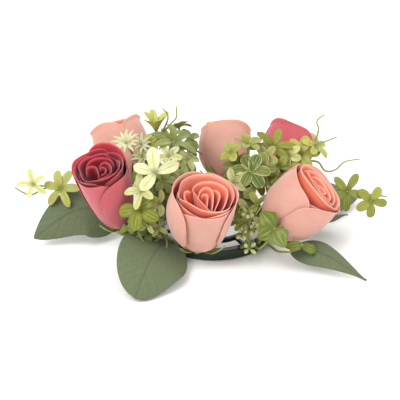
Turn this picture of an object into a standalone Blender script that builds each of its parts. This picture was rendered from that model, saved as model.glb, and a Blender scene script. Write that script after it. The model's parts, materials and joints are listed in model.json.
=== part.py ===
"""Flower crown: a small floral wreath on a moulded ring.

A dark green ring frame (two rails joined by slanting rungs) carries everything.  Each stem is plugged
into its own blind socket in the outer rail.  Six rose heads swivel on the pins of their stems; each head
is a calyx whose spike threads an outer cup, a middle cup and a rolled heart of petals.  Between the
roses stand eucalyptus leaves on their own stems and moulded sprigs of small leaves, buds and blossoms.

Lengths are in millimetres and angles in degrees; the whole crown is scaled to metres when it is built.
"""

import math
from typing import NamedTuple

import bpy
from mathutils import Matrix, Quaternion, Vector

MM = 0.001

# ---- ring frame -------------------------------------------------------------------------------------
RAIL_RADIUS = 34.0          # middle of the outer rail
LAYOUT_RADIUS = 34.0        # rail radius that the tables of places below are laid out for
RAIL_WIDTH = 5.0
RAIL_HEIGHT = 6.5
INNER_RAIL_RADIUS = 22.0    # middle of the inner rail
INNER_RAIL_WIDTH = 3.0
INNER_RAIL_HEIGHT = 3.0
INNER_RAIL_LIFT = 4.0       # the inner rail's underside stands this far above the outer rail's
RAIL_SEGMENTS = 36
RAIL_EDGE = 0.8             # chamfer along the rails' edges
RUNG_COUNT = 10
RUNG_WIDTH = 2.4
RUNG_HEIGHT = 2.2
RUNG_BITE = 1.2             # how far a rung runs into each rail
SOCKET_SIDES = 8
SOCKET_FLOOR = 0.2          # the socket's blind end lies this far out from the middle of the rail
CLEARANCE = 0.35            # gap between pieces that touch or turn in each other

# ---- rose heads -------------------------------------------------------------------------------------
PIN_RADIUS = 1.4            # the stem's pin, which the calyx turns on
PIN_LENGTH = 5.0
STEM_RADIUS = 1.5
STEM_COLLAR = 2.2           # radius of the shoulder that the calyx rests on
COLLAR_HEIGHT = 0.7
SPIKE_RADIUS = 1.2
SPIKE_LENGTH = 11.0
HIP_RADIUS = 3.6
HIP_WALL = 1.0              # floor of the calyx above its socket
DISH_RADIUS = 8.6           # rim of the calyx's dish
DISH_RISE = 1.2
SEPAL_REACH = 9.0
SEPAL_WIDTH = 5.4
SEPAL_THICKNESS = 0.9
PETAL_WALL = 2.6            # room for one layer of overlapping petals
MIDDLE_DROP = 1.2           # the middle cup's rim lies this far below the outer rim
HEART_DROP = 3.0
PETALS = 5
PETAL_SIDES = PETALS * 3
# The cup's side: share of the widest radius against share of its height. Above, it narrows to its mouth.
BLOOM_SHAPE = [(0.33, 0.01), (0.64, 0.16), (0.87, 0.38), (1.0, 0.64)]
BLOOM_LIP = 0.9             # where the cup has narrowed to its mouth, as a share of its height
LIP_FLARE = 1.03


class Rose(NamedTuple):
    azimuth: float          # of its socket and its foot on the ring
    climb: float            # of its stem where it leaves the rail
    reach: float            # of the head's foot from the ring's middle
    height: float           # of the head's foot
    tilt: float             # of the head from vertical
    heading: float          # that it leans towards
    radius: float           # of the outer cup, where it is widest
    length: float           # of the outer cup
    mouth: float            # radius at the mouth as a share of the widest
    fabric: str


ROSES = {
    "front": Rose(256, 48, 40.7, 9.5, 15, 295, 19.2, 37.5, 0.90, "peach_fabric"),
    "right": Rose(316, 50, 38.8, 11.0, 42, 351, 19.5, 41.0, 0.88, "peach_fabric"),
    "left": Rose(202, 32, 58.9, 12.0, 19, 231, 15.4, 45.0, 0.99, "deep_pink_fabric"),
    "back_left": Rose(144, 26, 59.0, 10.0, 42, 118, 17.5, 37.0, 0.95, "peach_fabric"),
    "back": Rose(84, 75, 37.0, 9.5, 42, 80, 17.0, 34.5, 0.92, "peach_fabric"),
    "back_right": Rose(41, 40, 48.0, 10.0, 46, 58, 17.0, 36.5, 0.95, "deep_pink_fabric"),
}

# ---- eucalyptus leaves ------------------------------------------------------------------------------
LEAF_THICKNESS = 1.0
LEAF_STEM_RADIUS = 1.0
LEAF_STEM_TIP = 0.7
LEAF_GAP = 0.4              # between a blade's butt and the end of its stem
LEAF_OUTLINE = [(0.0, 0.16), (0.12, 0.52), (0.32, 0.9), (0.55, 1.0), (0.78, 0.78), (0.93, 0.42), (1.0, 0.1)]
LEAF_CROWN = 0.16           # how far the middle of a blade stands above its edges, as a share of its width

# name: socket azimuth, climb, half width, roll, centre line from the blade's butt to its tip
LEAVES = {
    "front": (243, 8, 17.0, -34, [(-17, -43, 7.5), (-29, -58, 12.5), (-45, -75, 5.5)]),
    "left": (193, 8, 13.5, -42, [(-60, -4, 9.0), (-84, -12, 15.0), (-107, -22, 5.5)]),
    "right": (333, 4, 8.5, 24, [(50, -36, 6.5), (66, -48, 8.5), (84, -62, 4.0)]),
    "centre": (209, 84, 10.0, 60, [(-29, -15, 18), (-25, -16, 32), (-19, -19, 45)]),
    "far_right": (341, 6, 10.0, -25, [(54, -8, 7.0), (67, -5, 9.5), (81, -2, 12.0)]),
    "back_right": (16, 6, 13.0, 20, [(52, 19, 6.0), (70, 27, 9.0), (92, 37, 5.0)]),
    "back_left": (157, 6, 13.0, -20, [(-50, 17, 6.0), (-70, 23, 9.0), (-92, 33, 5.0)]),
    "back": (112, 6, 12.0, 0, [(-17, 44, 5.0), (-27, 62, 6.5), (-36, 82, 4.0)]),
}

# ---- moulded sprigs ---------------------------------------------------------------------------------
SPRIG_RADIUS = 0.9
SPRIG_TIP = 0.5
SHOOT_RADIUS = 0.6          # of the short shoots that carry the whorls
TENDRIL_RADIUS = 0.45
LEAFLET_THICKNESS = 0.7
LEAFLET_SHAPE = [(0.62, 1.0), (1.0, 0.45)]
BUD_SHAPE = [(0.55, 0.5), (0.8, 1.0), (1.0, 0.4)]


class Whorl(NamedTuple):
    fork: int               # of the point on the stem's route where its shoot leaves
    hub: tuple              # middle of the whorl
    facing: tuple           # way that the whorl faces
    count: int
    length: float
    width: float
    lift: float             # of the leaflets above the whorl's own plane


class Sprig(NamedTuple):
    azimuth: float          # of its socket
    climb: float            # of its stem where it leaves the rail
    route: list
    whorls: list
    tendrils: list = []     # (fork, points)


SPRIGS = {
    "pale_front_left": Sprig(234, 58, [(-29, -36, 18), (-35, -37, 36), (-35, -36, 50)], [
        Whorl(1, (-42, -46, 40), (-0.3, -0.8, 0.5), 5, 11.5, 7.0, 12),
        Whorl(2, (-38.5, -45, 52), (-0.3, -0.65, 0.7), 5, 11.0, 6.0, 22),
        Whorl(2, (-32, -38, 59), (0.05, -0.75, 0.65), 5, 13.0, 6.2, 8)]),
    "yellow_left": Sprig(165, 80, [(-35, 9, 22), (-37, 12, 42), (-34, 12, 55)], [
        Whorl(1, (-43, 17, 44), (-0.6, 0.1, 0.8), 5, 7.5, 4.5, 20),
        Whorl(2, (-34, 13, 60), (-0.1, 0.1, 0.99), 6, 14.5, 5.0, 56)],
        [(2, [(-30, 12, 57), (-29, 12, 61), (-25, 12, 66), (-22, 12, 70), (-22, 12, 77)])]),
    "green_left": Sprig(186, 86, [(-33, -4, 22), (-29, -4, 42), (-27, -3, 54)], [
        Whorl(1, (-31, -10, 45), (-0.2, -0.7, 0.7), 5, 9.0, 4.5, 15),
        Whorl(1, (-23, -13, 50), (0.2, -0.7, 0.7), 5, 8.0, 4.8, 20),
        Whorl(2, (-23.5, -4, 61), (0.35, -0.35, 0.85), 6, 13.5, 5.0, 15)]),
    "wax_flower": Sprig(179, 45, [(-43, 0, 20), (-46, 1, 36), (-46, 2, 46)], [
        Whorl(1, (-42, 0, 49), (0.1, -0.6, 0.8), 8, 7.5, 1.8, 35),
        Whorl(2, (-51, 2, 57), (-0.2, -0.5, 0.85), 8, 8.0, 1.8, 35)]),
    "variegated_centre": Sprig(303, 84, [(19, -25, 20), (18, -21, 35), (19, -19, 47)], [
        Whorl(1, (17, -27, 36), (-0.1, -0.8, 0.6), 5, 8.0, 5.2, 15),
        Whorl(2, (21, -22, 51), (0.0, -0.7, 0.7), 6, 11.0, 6.0, 15),
        Whorl(2, (10, -16, 60), (-0.3, -0.6, 0.75), 4, 7.5, 5.0, 25),
        Whorl(2, (20, -7, 60), (0.1, -0.1, 0.98), 5, 9.0, 4.8, 35)]),
    "green_right": Sprig(348, 80, [(34, -5, 20), (31, -5, 36), (33, -4, 48)], [
        Whorl(1, (26, -8, 43), (-0.4, -0.6, 0.65), 5, 9.0, 5.0, 20),
        Whorl(2, (35, 0, 56), (0.1, -0.6, 0.8), 6, 13.0, 4.4, 15)]),
    "yellow_right": Sprig(3, 55, [(44, 5, 18), (50, 6, 34), (52, 6, 44)], [
        Whorl(1, (41, -3, 43), (-0.2, -0.7, 0.7), 5, 8.0, 4.8, 20),
        Whorl(2, (51, 2, 50), (0.1, -0.7, 0.7), 6, 11.5, 5.4, 12),
        Whorl(2, (60, 7, 52), (0.5, -0.3, 0.8), 5, 9.5, 4.6, 20)],
        [(2, [(57, 9, 51), (61, 9, 58), (62, 9, 64), (61, 9, 69), (65, 9, 73)]),
         (2, [(62, 5, 44), (67, 5, 38), (73, 5, 39), (78, 5, 44), (87, 5, 46)])]),
    "outer_right": Sprig(355, 22, [(52, 3, 11), (64, 2, 23), (76, -1, 29), (88, -4, 27)], [
        Whorl(2, (79, -6, 30), (0.0, -0.9, 0.45), 5, 11.0, 4.6, 12),
        Whorl(3, (93, -9, 25), (0.2, -0.9, 0.4), 5, 10.0, 4.8, 12)],
        [(3, [(96, -5, 27), (103, -7, 27)])]),
    "outer_left": Sprig(172, 18, [(-52, 4, 12), (-68, 3, 25), (-84, -1, 31), (-98, -4, 32)], [
        Whorl(2, (-90, -6, 32), (-0.2, -0.8, 0.55), 6, 11.0, 4.6, 12),
        Whorl(3, (-106, -7, 35), (-0.3, -0.7, 0.65), 5, 9.0, 3.8, 18)],
        [(3, [(-103, -3, 29), (-109, -3, 26), (-114, -3, 28), (-118, -3, 31)])]),
    "buds_front": Sprig(296, 58, [(20, -37, 11), (20, -38, 19), (19, -37, 26)], [
        Whorl(0, (20, -42, 12), (0.1, -0.9, 0.3), 4, 4.5, 2.4, 38),
        Whorl(1, (17, -41, 21), (-0.4, -0.8, 0.4), 4, 5.0, 2.6, 40),
        Whorl(2, (19, -38, 30), (0.0, -0.3, 0.95), 5, 5.5, 2.8, 45)]),
    "rose_leaf_right": Sprig(308, 36, [(26, -41, 11), (27, -45, 16)], [
        Whorl(1, (28, -49, 20), (-0.1, -0.85, 0.5), 4, 10.5, 8.6, 8)]),
    "rose_leaf_under": Sprig(324, 4, [(37, -37, 7), (41, -43, 10)], [
        Whorl(1, (43, -48, 13), (0.2, -0.85, 0.45), 4, 9.5, 6.0, 8)]),
    "green_back": Sprig(124, 70, [(-18, 32, 22), (-19, 35, 36)], [
        Whorl(1, (-21, 42, 49), (-0.2, 0.5, 0.85), 6, 9.0, 4.5, 20),
        Whorl(1, (-15, 31, 46), (0.4, -0.3, 0.85), 5, 8.0, 4.5, 20)]),
}
BUD_SPRIGS = ("buds_front",)

MATERIALS = {  # colour, roughness
    "ring_green": ((0.030, 0.075, 0.045), 0.38),
    "stem_green": ((0.16, 0.24, 0.07), 0.45),
    "peach_fabric": ((0.90, 0.50, 0.40), 0.80),
    "deep_pink_fabric": ((0.72, 0.16, 0.22), 0.80),
    "eucalyptus_fabric": ((0.22, 0.29, 0.17), 0.75),
    "sprig_green": ((0.36, 0.45, 0.12), 0.40),
    "sprig_pale": ((0.72, 0.74, 0.42), 0.45),
}
SPRIG_MATERIAL = {
    "pale_front_left": "sprig_pale", "yellow_left": "sprig_pale", "wax_flower": "sprig_pale",
    "outer_left": "sprig_pale", "variegated_centre": "sprig_green",
}


# ---- small helpers ----------------------------------------------------------------------------------
def unit(values):
    return Vector(values).normalized()


def polar(azimuth, radius, height=0.0):
    angle = math.radians(azimuth)
    return Vector((radius * math.cos(angle), radius * math.sin(angle), height))


def leaning(tilt, heading):
    """A unit vector tilted from vertical towards a heading."""
    lean = math.radians(tilt)
    return Vector((0, 0, math.cos(lean))) + polar(heading, math.sin(lean))


def beside_rail(place):
    """A laid-out place, moved outwards by as much as the rail is wider than the layout's."""
    place = Vector(place)
    outward = Vector((place.x, place.y, 0)).normalized()
    return place + outward * (RAIL_RADIUS - LAYOUT_RADIUS)


def across(direction, hint=(0, 0, 1)):
    """A unit vector square to direction, as near to hint as it can be."""
    direction = Vector(direction).normalized()
    side = Vector(hint) - direction * direction.dot(Vector(hint))
    if side.length < 1e-3:
        side = Vector((1, 0, 0)) - direction * direction.x
    return side.normalized()


def smooth_route(points, first_way=None, steps=3):
    """Points on a smooth curve through the given ones, setting off along first_way."""
    points = [Vector(p) for p in points]
    ways = []
    for i in range(len(points)):
        before, after = points[max(i - 1, 0)], points[min(i + 1, len(points) - 1)]
        ways.append((after - before).normalized())
    if first_way is not None:
        ways[0] = Vector(first_way).normalized()
    route, kept = [], []
    for i in range(len(points) - 1):
        a, b = points[i], points[i + 1]
        wa, wb = ways[i] * (b - a).length, ways[i + 1] * (b - a).length
        kept.append(len(route))
        for k in range(steps):
            t = k / steps
            h = (2 * t**3 - 3 * t**2 + 1, t**3 - 2 * t**2 + t, 3 * t**2 - 2 * t**3, t**3 - t**2)
            route.append(a * h[0] + wa * h[1] + b * h[2] + wb * h[3])
    kept.append(len(route))
    route.append(points[-1])
    return route, kept


class Solid:
    """A closed mesh grown ring by ring. Rings turn anticlockwise seen from the side they grow towards."""

    def __init__(self):
        self.points, self.faces = [], []

    def ring(self, points):
        first = len(self.points)
        self.points.extend(Vector(p) for p in points)
        return list(range(first, len(self.points)))

    def bridge(self, low, high, leave_out=()):
        count = len(low)
        for i in range(count):
            if i not in leave_out:
                j = (i + 1) % count
                self.faces.append((low[i], low[j], high[j], high[i]))

    def start_cap(self, ring):
        self.faces.append(tuple(reversed(ring)))

    def end_cap(self, ring):
        self.faces.append(tuple(ring))

    def grow(self, ring, new_rings):
        for points in new_rings:
            fresh = self.ring(points)
            self.bridge(ring, fresh)
            ring = fresh
        self.end_cap(ring)

    def make(self, name, material, place=None, parent=None, scale=MM):
        mesh = bpy.data.meshes.new(name)
        mesh.from_pydata([p * scale for p in self.points], [], self.faces)
        mesh.update()
        mesh.materials.append(material_named(material))
        mesh.shade_smooth()
        mesh.set_sharp_from_angle(angle=math.radians(50))
        obj = bpy.data.objects.new(name, mesh)
        bpy.context.scene.collection.objects.link(obj)
        if place is not None:
            obj.matrix_world = place
        if parent is not None:
            obj.parent = parent
        return obj


def material_named(name):
    found = bpy.data.materials.get(name)
    if found is None:
        colour, roughness = MATERIALS[name]
        found = bpy.data.materials.new(name)
        found.use_nodes = True
        shader = found.node_tree.nodes["Principled BSDF"]
        shader.inputs["Base Color"].default_value = (*colour, 1)
        shader.inputs["Roughness"].default_value = roughness
        shader.inputs["Metallic"].default_value = 0.0
    return found


def circle(centre, axis, side, radius, sides):
    """Points round axis, anticlockwise seen from its tip, the first one towards side."""
    other = Vector(axis).normalized().cross(side)
    steps = [2 * math.pi * i / sides for i in range(sides)]
    return [centre + (side * math.cos(a) + other * math.sin(a)) * radius for a in steps]


# ---- ring frame -------------------------------------------------------------------------------------
def rail(radius, width, height, lift):
    """One rail as a ring with chamfered edges, turned about Z."""
    half, edge = width / 2, RAIL_EDGE
    low, high = lift, lift + height
    section = [(radius - half + edge, low), (radius + half - edge, low), (radius + half, low + edge),
               (radius + half, high - edge), (radius + half - edge, high), (radius - half + edge, high),
               (radius - half, high - edge), (radius - half, low + edge)]
    solid = Solid()
    rings = [solid.ring(polar(360 * i / RAIL_SEGMENTS, r, z) for i in range(RAIL_SEGMENTS))
             for r, z in section]
    for low_ring, high_ring in zip(rings, rings[1:] + rings[:1]):
        solid.bridge(low_ring, high_ring)
    return solid


def rung(azimuth):
    """A slanting bar from inside one rail to inside the other."""
    outward = polar(azimuth, 1)
    start = polar(azimuth, INNER_RAIL_RADIUS + INNER_RAIL_WIDTH / 2 - RUNG_BITE,
                  INNER_RAIL_LIFT + INNER_RAIL_HEIGHT / 2)
    end = polar(azimuth, RAIL_RADIUS - RAIL_WIDTH / 2 + RUNG_BITE, RAIL_HEIGHT * 0.55)
    side = outward.cross(Vector((0, 0, 1))) * (RUNG_WIDTH / 2)
    rise = Vector((0, 0, RUNG_HEIGHT / 2))
    solid = Solid()
    ring = solid.ring(start + c for c in (side - rise, -side - rise, -side + rise, side + rise))
    solid.faces.append(tuple(reversed(ring)))
    solid.grow(ring, [[end + c for c in (side - rise, -side - rise, -side + rise, side + rise)]])
    return solid


def socket_way(azimuth, climb):
    lift = math.radians(climb)
    return polar(azimuth, math.cos(lift)) + Vector((0, 0, math.sin(lift)))


def rail_middle(azimuth):
    return polar(azimuth, RAIL_RADIUS, RAIL_HEIGHT / 2)


def socket_cutter(azimuth, climb, stem_radius):
    way = socket_way(azimuth, climb)
    side = across(way)
    radius = stem_radius + CLEARANCE
    start = rail_middle(azimuth) + way * SOCKET_FLOOR
    solid = Solid()
    ring = solid.ring(circle(start, way, side, radius, SOCKET_SIDES))
    solid.start_cap(ring)
    solid.grow(ring, [circle(start + way * RAIL_WIDTH * 2, way, side, radius, SOCKET_SIDES)])
    return solid


def sockets():
    """Every socket in the outer rail: azimuth, climb and the radius of the stem in it."""
    found = [(rose.azimuth, rose.climb, STEM_RADIUS) for rose in ROSES.values()]
    found += [(leaf[0], leaf[1], LEAF_STEM_RADIUS) for leaf in LEAVES.values()]
    found += [(layout.azimuth, layout.climb, SPRIG_RADIUS) for layout in SPRIGS.values()]
    return found


def ring_frame(parent):
    frame = rail(RAIL_RADIUS, RAIL_WIDTH, RAIL_HEIGHT, 0.0).make("ring_frame", "ring_green", parent=parent)
    inner = rail(INNER_RAIL_RADIUS, INNER_RAIL_WIDTH, INNER_RAIL_HEIGHT, INNER_RAIL_LIFT)
    joined = [inner] + [rung(360 * (i + 0.5) / RUNG_COUNT) for i in range(RUNG_COUNT)]
    for number, solid in enumerate(joined):
        combine(frame, solid, f"frame_piece_{number}", "UNION")
    for number, (azimuth, climb, radius) in enumerate(sockets()):
        combine(frame, socket_cutter(azimuth, climb, radius), f"socket_{number}", "DIFFERENCE")
    return frame


def combine(obj, solid, name, operation):
    other = solid.make(name, "ring_green", parent=obj.parent)
    other.hide_render = True
    other.display_type = "WIRE"
    modifier = obj.modifiers.new(name, "BOOLEAN")
    modifier.operation = operation
    modifier.object = other
    modifier.solver = "EXACT"


# ---- stems ------------------------------------------------------------------------------------------
def stem_route(azimuth, climb, points, steps=3):
    """From the socket's floor, straight out of the rail, then smoothly through points."""
    way = socket_way(azimuth, climb)
    foot = rail_middle(azimuth) + way * (SOCKET_FLOOR + CLEARANCE)
    mouth = foot + way * (max(RAIL_HEIGHT, RAIL_WIDTH) / 2)
    route, kept = smooth_route([mouth, *points], way, steps)
    return [foot, *route], [k + 1 for k in kept]


def tube_rings(solid, route, radii, sides):
    """Rings along a route, carried without twist. Returns them with their ways and sides."""
    ways = []
    for i in range(len(route)):
        before, after = route[max(i - 1, 0)], route[min(i + 1, len(route) - 1)]
        ways.append((after - before).normalized())
    side = across(ways[0], (0.3, 0.2, 1))
    rings, frames = [], []
    for i, centre in enumerate(route):
        side = across(ways[i], side)
        rings.append(solid.ring(circle(centre, ways[i], side, radii[i], sides)))
        frames.append((ways[i], side))
    return rings, frames


def tube(route, radii, sides):
    solid = Solid()
    rings, _ = tube_rings(solid, route, radii, sides)
    solid.start_cap(rings[0])
    for low, high in zip(rings, rings[1:]):
        solid.bridge(low, high)
    solid.end_cap(rings[-1])
    return solid


def tapered(start, end, count):
    return [start + (end - start) * i / (count - 1) for i in range(count)]


# ---- rose heads -------------------------------------------------------------------------------------
def rose_foot(rose):
    return beside_rail(polar(rose.azimuth, rose.reach, rose.height))


def rose_place(rose):
    """The head's own frame: origin where the calyx meets its stem, +Z along the head."""
    axis = leaning(rose.tilt, rose.heading)
    side = across(axis, polar(rose.heading, 1))
    turn = Matrix((side, axis.cross(side), axis)).transposed().to_4x4()
    return Matrix.Translation(rose_foot(rose) * MM) @ turn


def rose_stem(name, parent):
    """A stem from its socket to the head's foot, with a shoulder and the pin that the head turns on."""
    rose = ROSES[name]
    axis = leaning(rose.tilt, rose.heading)
    shoulder = rose_foot(rose) - axis * CLEARANCE
    route, _ = stem_route(rose.azimuth, rose.climb, [shoulder - axis * COLLAR_HEIGHT * 2])
    radii = [STEM_RADIUS] * len(route)
    route += [shoulder - axis * COLLAR_HEIGHT, shoulder, shoulder + axis * 0.05, shoulder + axis * PIN_LENGTH]
    radii += [STEM_COLLAR, STEM_COLLAR, PIN_RADIUS, PIN_RADIUS * 0.85]
    return tube(route, radii, 8).make(f"rose_{name}_stem", "stem_green", parent=parent)


def dish_floor():
    return PIN_LENGTH + CLEARANCE + HIP_WALL


def cup_foot():
    return dish_floor() + CLEARANCE


def bloom_side(rose, inset, drop):
    """(radius, height) up the outside of a petal cup lying inset inside the outermost one."""
    bore = SPIKE_RADIUS + CLEARANCE + 0.2
    side = [(bore, 0.0)] + [(rose.radius * r, rose.length * z) for r, z in BLOOM_SHAPE]
    mouth = rose.radius * rose.mouth
    side += [(mouth, rose.length * BLOOM_LIP), (mouth * LIP_FLARE, rose.length)]
    moved = []
    for i, (r, z) in enumerate(side):
        r0, z0 = side[max(i - 1, 0)]
        r1, z1 = side[min(i + 1, len(side) - 1)]
        along = Vector((r1 - r0, z1 - z0)).normalized()
        moved.append((max(r - along.y * inset, bore + 0.5), z + along.x * inset))
    top = rose.length - drop
    return [(bore, inset)] + [(r, min(z, top - 2.0)) for r, z in moved[1:-1]] + [(moved[-1][0], top)]


def turned_rings(solid, section, length=None):
    """Rings turned about the head's axis; towards length they rise and swell at the middle of each petal."""
    rings = []
    for r, z in section:
        share = max(0.0, (z / length - 0.65) / 0.35) if length else 0.0
        ring = []
        for i in range(PETAL_SIDES):
            wave = math.cos(2 * math.pi * i * PETALS / PETAL_SIDES) * share
            ring.append(polar(360 * i / PETAL_SIDES, r * (1 + 0.025 * wave), cup_foot() + z + 1.1 * wave))
        rings.append(solid.ring(ring))
    return rings


def petal_cup(name, layer, inset, drop, place, parent):
    """A thin-walled cup with a hole in its floor for the calyx's spike."""
    rose = ROSES[name]
    section = bloom_side(rose, inset, drop) + bloom_side(rose, inset + PETAL_WALL, drop + 1.4)[::-1]
    solid = Solid()
    rings = turned_rings(solid, section, rose.length)
    for low, high in zip(rings, rings[1:] + rings[:1]):
        solid.bridge(low, high)
    return solid.make(f"rose_{name}_{layer}_petals", rose.fabric, place, parent)


def petal_heart(name, inset, drop, place, parent):
    """The rolled inner petals as one solid with a blind bore for the spike."""
    rose = ROSES[name]
    side = bloom_side(rose, inset, drop)
    bore_top = dish_floor() + SPIKE_LENGTH + CLEARANCE - cup_foot()
    rim = side[-1]
    section = [(side[0][0], bore_top), *side, (rim[0] * 0.45, rim[1] - 1.0)]
    solid = Solid()
    rings = turned_rings(solid, section)
    solid.start_cap(rings[0])
    for low, high in zip(rings, rings[1:]):
        solid.bridge(low, high)
    solid.end_cap(rings[-1])
    return solid.make(f"rose_{name}_heart", rose.fabric, place, parent)


def calyx(name, place, parent):
    """A dish with five sepals, a socket below for the stem's pin and a spike above for the petals."""
    bore = PIN_RADIUS + CLEARANCE
    floor = dish_floor()
    section = [(bore, PIN_LENGTH + CLEARANCE), (bore, 0.0), (HIP_RADIUS * 0.85, 0.0), (HIP_RADIUS, 3.0),
               (DISH_RADIUS, floor - 0.4), (DISH_RADIUS, floor + DISH_RISE * 0.35),
               (SPIKE_RADIUS * 2.2, floor), (SPIKE_RADIUS, floor + 0.4),
               (SPIKE_RADIUS, floor + SPIKE_LENGTH - 1.0), (SPIKE_RADIUS * 0.5, floor + SPIKE_LENGTH)]
    sides = PETALS * 2
    solid = Solid()
    rings = [solid.ring(polar(360 * i / sides, r, z) for i in range(sides)) for r, z in section]
    rim = 4
    sepal_sides = range(0, sides, 2)
    solid.start_cap(rings[0])
    for k, (low, high) in enumerate(zip(rings, rings[1:])):
        solid.bridge(low, high, sepal_sides if k == rim else ())
    solid.end_cap(rings[-1])
    for i in sepal_sides:
        base = [rings[rim][i], rings[rim][i + 1], rings[rim + 1][(i + 1) % sides], rings[rim + 1][i]]
        azimuth = 360 * (i + 0.5) / sides
        grown = []
        for reach, width in ((0.5, 1.0), (1.0, 0.2)):
            spot = reach * SEPAL_REACH
            height = floor + 0.1 + 0.62 * spot + 0.02 * spot * spot
            middle = polar(azimuth, DISH_RADIUS + spot * 0.86, height)
            lateral = polar(azimuth + 90, SEPAL_WIDTH / 2 * width)
            thick = (polar(azimuth, -0.55) + Vector((0, 0, 0.83))) * (SEPAL_THICKNESS / 2)
            grown.append([middle - lateral - thick, middle + lateral - thick,
                          middle + lateral + thick, middle - lateral + thick])
        solid.grow(base, grown)
    return solid.make(f"rose_{name}_calyx", "stem_green", place, parent)


def rose_head(name, parent):
    place = rose_place(ROSES[name])
    layer = PETAL_WALL + CLEARANCE
    calyx(name, place, parent)
    petal_cup(name, "outer", 0.0, 0.0, place, parent)
    petal_cup(name, "middle", layer, MIDDLE_DROP, place, parent)
    petal_heart(name, layer * 2, HEART_DROP, place, parent)


# ---- eucalyptus leaves ------------------------------------------------------------------------------
def eucalyptus_leaf(name, parent):
    azimuth, climb, half_width, roll, line = LEAVES[name]
    line = [beside_rail(place) for place in line]
    stem_end = line[0]
    heading = (Vector(line[1]) - stem_end).normalized()
    route, _ = stem_route(azimuth, climb, [stem_end - heading * 3, stem_end - heading * LEAF_GAP])
    stem = tube(route, tapered(LEAF_STEM_RADIUS, LEAF_STEM_TIP, len(route)), 6)
    stem.make(f"eucalyptus_{name}_stem", "stem_green", parent=parent)

    middle, _ = smooth_route(line, heading, 12)
    lengths = [0.0]
    for a, b in zip(middle, middle[1:]):
        lengths.append(lengths[-1] + (b - a).length)
    blade = Solid()
    ring = None
    for share, width in LEAF_OUTLINE:
        spot = share * lengths[-1]
        k = min(max(i for i, run in enumerate(lengths) if run <= spot + 1e-9), len(middle) - 2)
        part = (spot - lengths[k]) / (lengths[k + 1] - lengths[k])
        centre = middle[k].lerp(middle[k + 1], part)
        way = (middle[k + 1] - middle[k]).normalized()
        level = way.cross(Vector((0, 0, 1))).normalized()
        lateral = Quaternion(way, math.radians(roll)) @ level
        normal = lateral.cross(way)
        half = half_width * width
        crown = normal * (LEAF_CROWN * half)
        thick = normal * (LEAF_THICKNESS / 2)
        # lateral points to the right of the way the blade grows; the ring turns anticlockwise about it
        fresh = blade.ring([centre - lateral * half - thick, centre + crown - thick,
                            centre + lateral * half - thick, centre + lateral * half + thick,
                            centre + crown + thick, centre - lateral * half + thick])
        if ring is None:
            blade.faces.append(tuple(fresh))
        else:
            blade.bridge(fresh, ring)
        ring = fresh
    blade.faces.append(tuple(reversed(ring)))
    blade.make(f"eucalyptus_{name}_blade", "eucalyptus_fabric", parent=parent)


# ---- moulded sprigs ---------------------------------------------------------------------------------
def shoot(start, whorl, round_bodied):
    """A short shoot from the stem to a whorl, whose leaflets or buds grow out of its sides near its end."""
    hub, facing = beside_rail(whorl.hub), unit(whorl.facing)
    before = hub - facing * 3.5
    count = whorl.count
    solid = Solid()
    route = [start, start.lerp(before, 0.6), before, hub - facing * 0.5, hub + facing * 0.5, hub + facing]
    radii = [SHOOT_RADIUS] * 3 + [SHOOT_RADIUS + 0.2, SHOOT_RADIUS + 0.2, SHOOT_RADIUS * 0.5]
    rings, frames = tube_rings(solid, route, radii, count)
    solid.start_cap(rings[0])
    low_rim, high_rim = rings[3], rings[4]
    for low, high in zip(rings, rings[1:]):
        solid.bridge(low, high, range(count) if low is low_rim else ())
    solid.end_cap(rings[-1])
    side = frames[3][1]
    slope = math.radians(whorl.lift)
    for i in range(count):
        outward = Quaternion(facing, 2 * math.pi * (i + 0.5) / count) @ side
        lateral = facing.cross(outward)
        along = outward * math.cos(slope) + facing * math.sin(slope)
        normal = facing * math.cos(slope) - outward * math.sin(slope)
        j = (i + 1) % count
        grown = []
        for share, wide in BUD_SHAPE if round_bodied else LEAFLET_SHAPE:
            middle = hub + along * (whorl.length * share)
            half = lateral * (whorl.width / 2 * wide)
            deep = normal * (whorl.width / 2 * wide if round_bodied else LEAFLET_THICKNESS / 2)
            grown.append([middle - half - deep, middle + half - deep, middle + half + deep, middle - half + deep])
        solid.grow([low_rim[i], low_rim[j], high_rim[j], high_rim[i]], grown)
    return solid


def sprig(name, parent):
    """One moulded piece: a tapering stem, with shoots that carry whorls of leaflets or buds, and tendrils."""
    layout = SPRIGS[name]
    material = SPRIG_MATERIAL.get(name, "sprig_green")
    route, kept = stem_route(layout.azimuth, layout.climb, [beside_rail(p) for p in layout.route], 2)
    forks = [route[k] for k in kept[1:]]
    stem = tube(route, tapered(SPRIG_RADIUS, SPRIG_TIP, len(route)), 7)
    piece = stem.make(f"sprig_{name}", material, parent=parent)
    grown = [shoot(forks[whorl.fork], whorl, name in BUD_SPRIGS) for whorl in layout.whorls]
    for fork, points in layout.tendrils:
        curl, _ = smooth_route([forks[fork], *(beside_rail(p) for p in points)], None, 2)
        grown.append(tube(curl, tapered(TENDRIL_RADIUS, TENDRIL_RADIUS * 0.8, len(curl)), 6))
    for number, solid in enumerate(grown):
        combine(piece, solid, f"{name}_shoot_{number}", "UNION")
    return piece


# ---- the crown --------------------------------------------------------------------------------------
def footprint_centre():
    """Middle of the crown's footprint, over every piece that is part of it."""
    bpy.context.view_layer.update()
    corners = []
    for obj in bpy.context.scene.objects:
        if obj.type == "MESH" and not obj.hide_render:
            corners += [obj.matrix_world @ v.co for v in obj.data.vertices]
    low = [min(c[k] for c in corners) for k in (0, 1)]
    high = [max(c[k] for c in corners) for k in (0, 1)]
    return Vector(((low[0] + high[0]) / 2, (low[1] + high[1]) / 2, 0))


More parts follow.
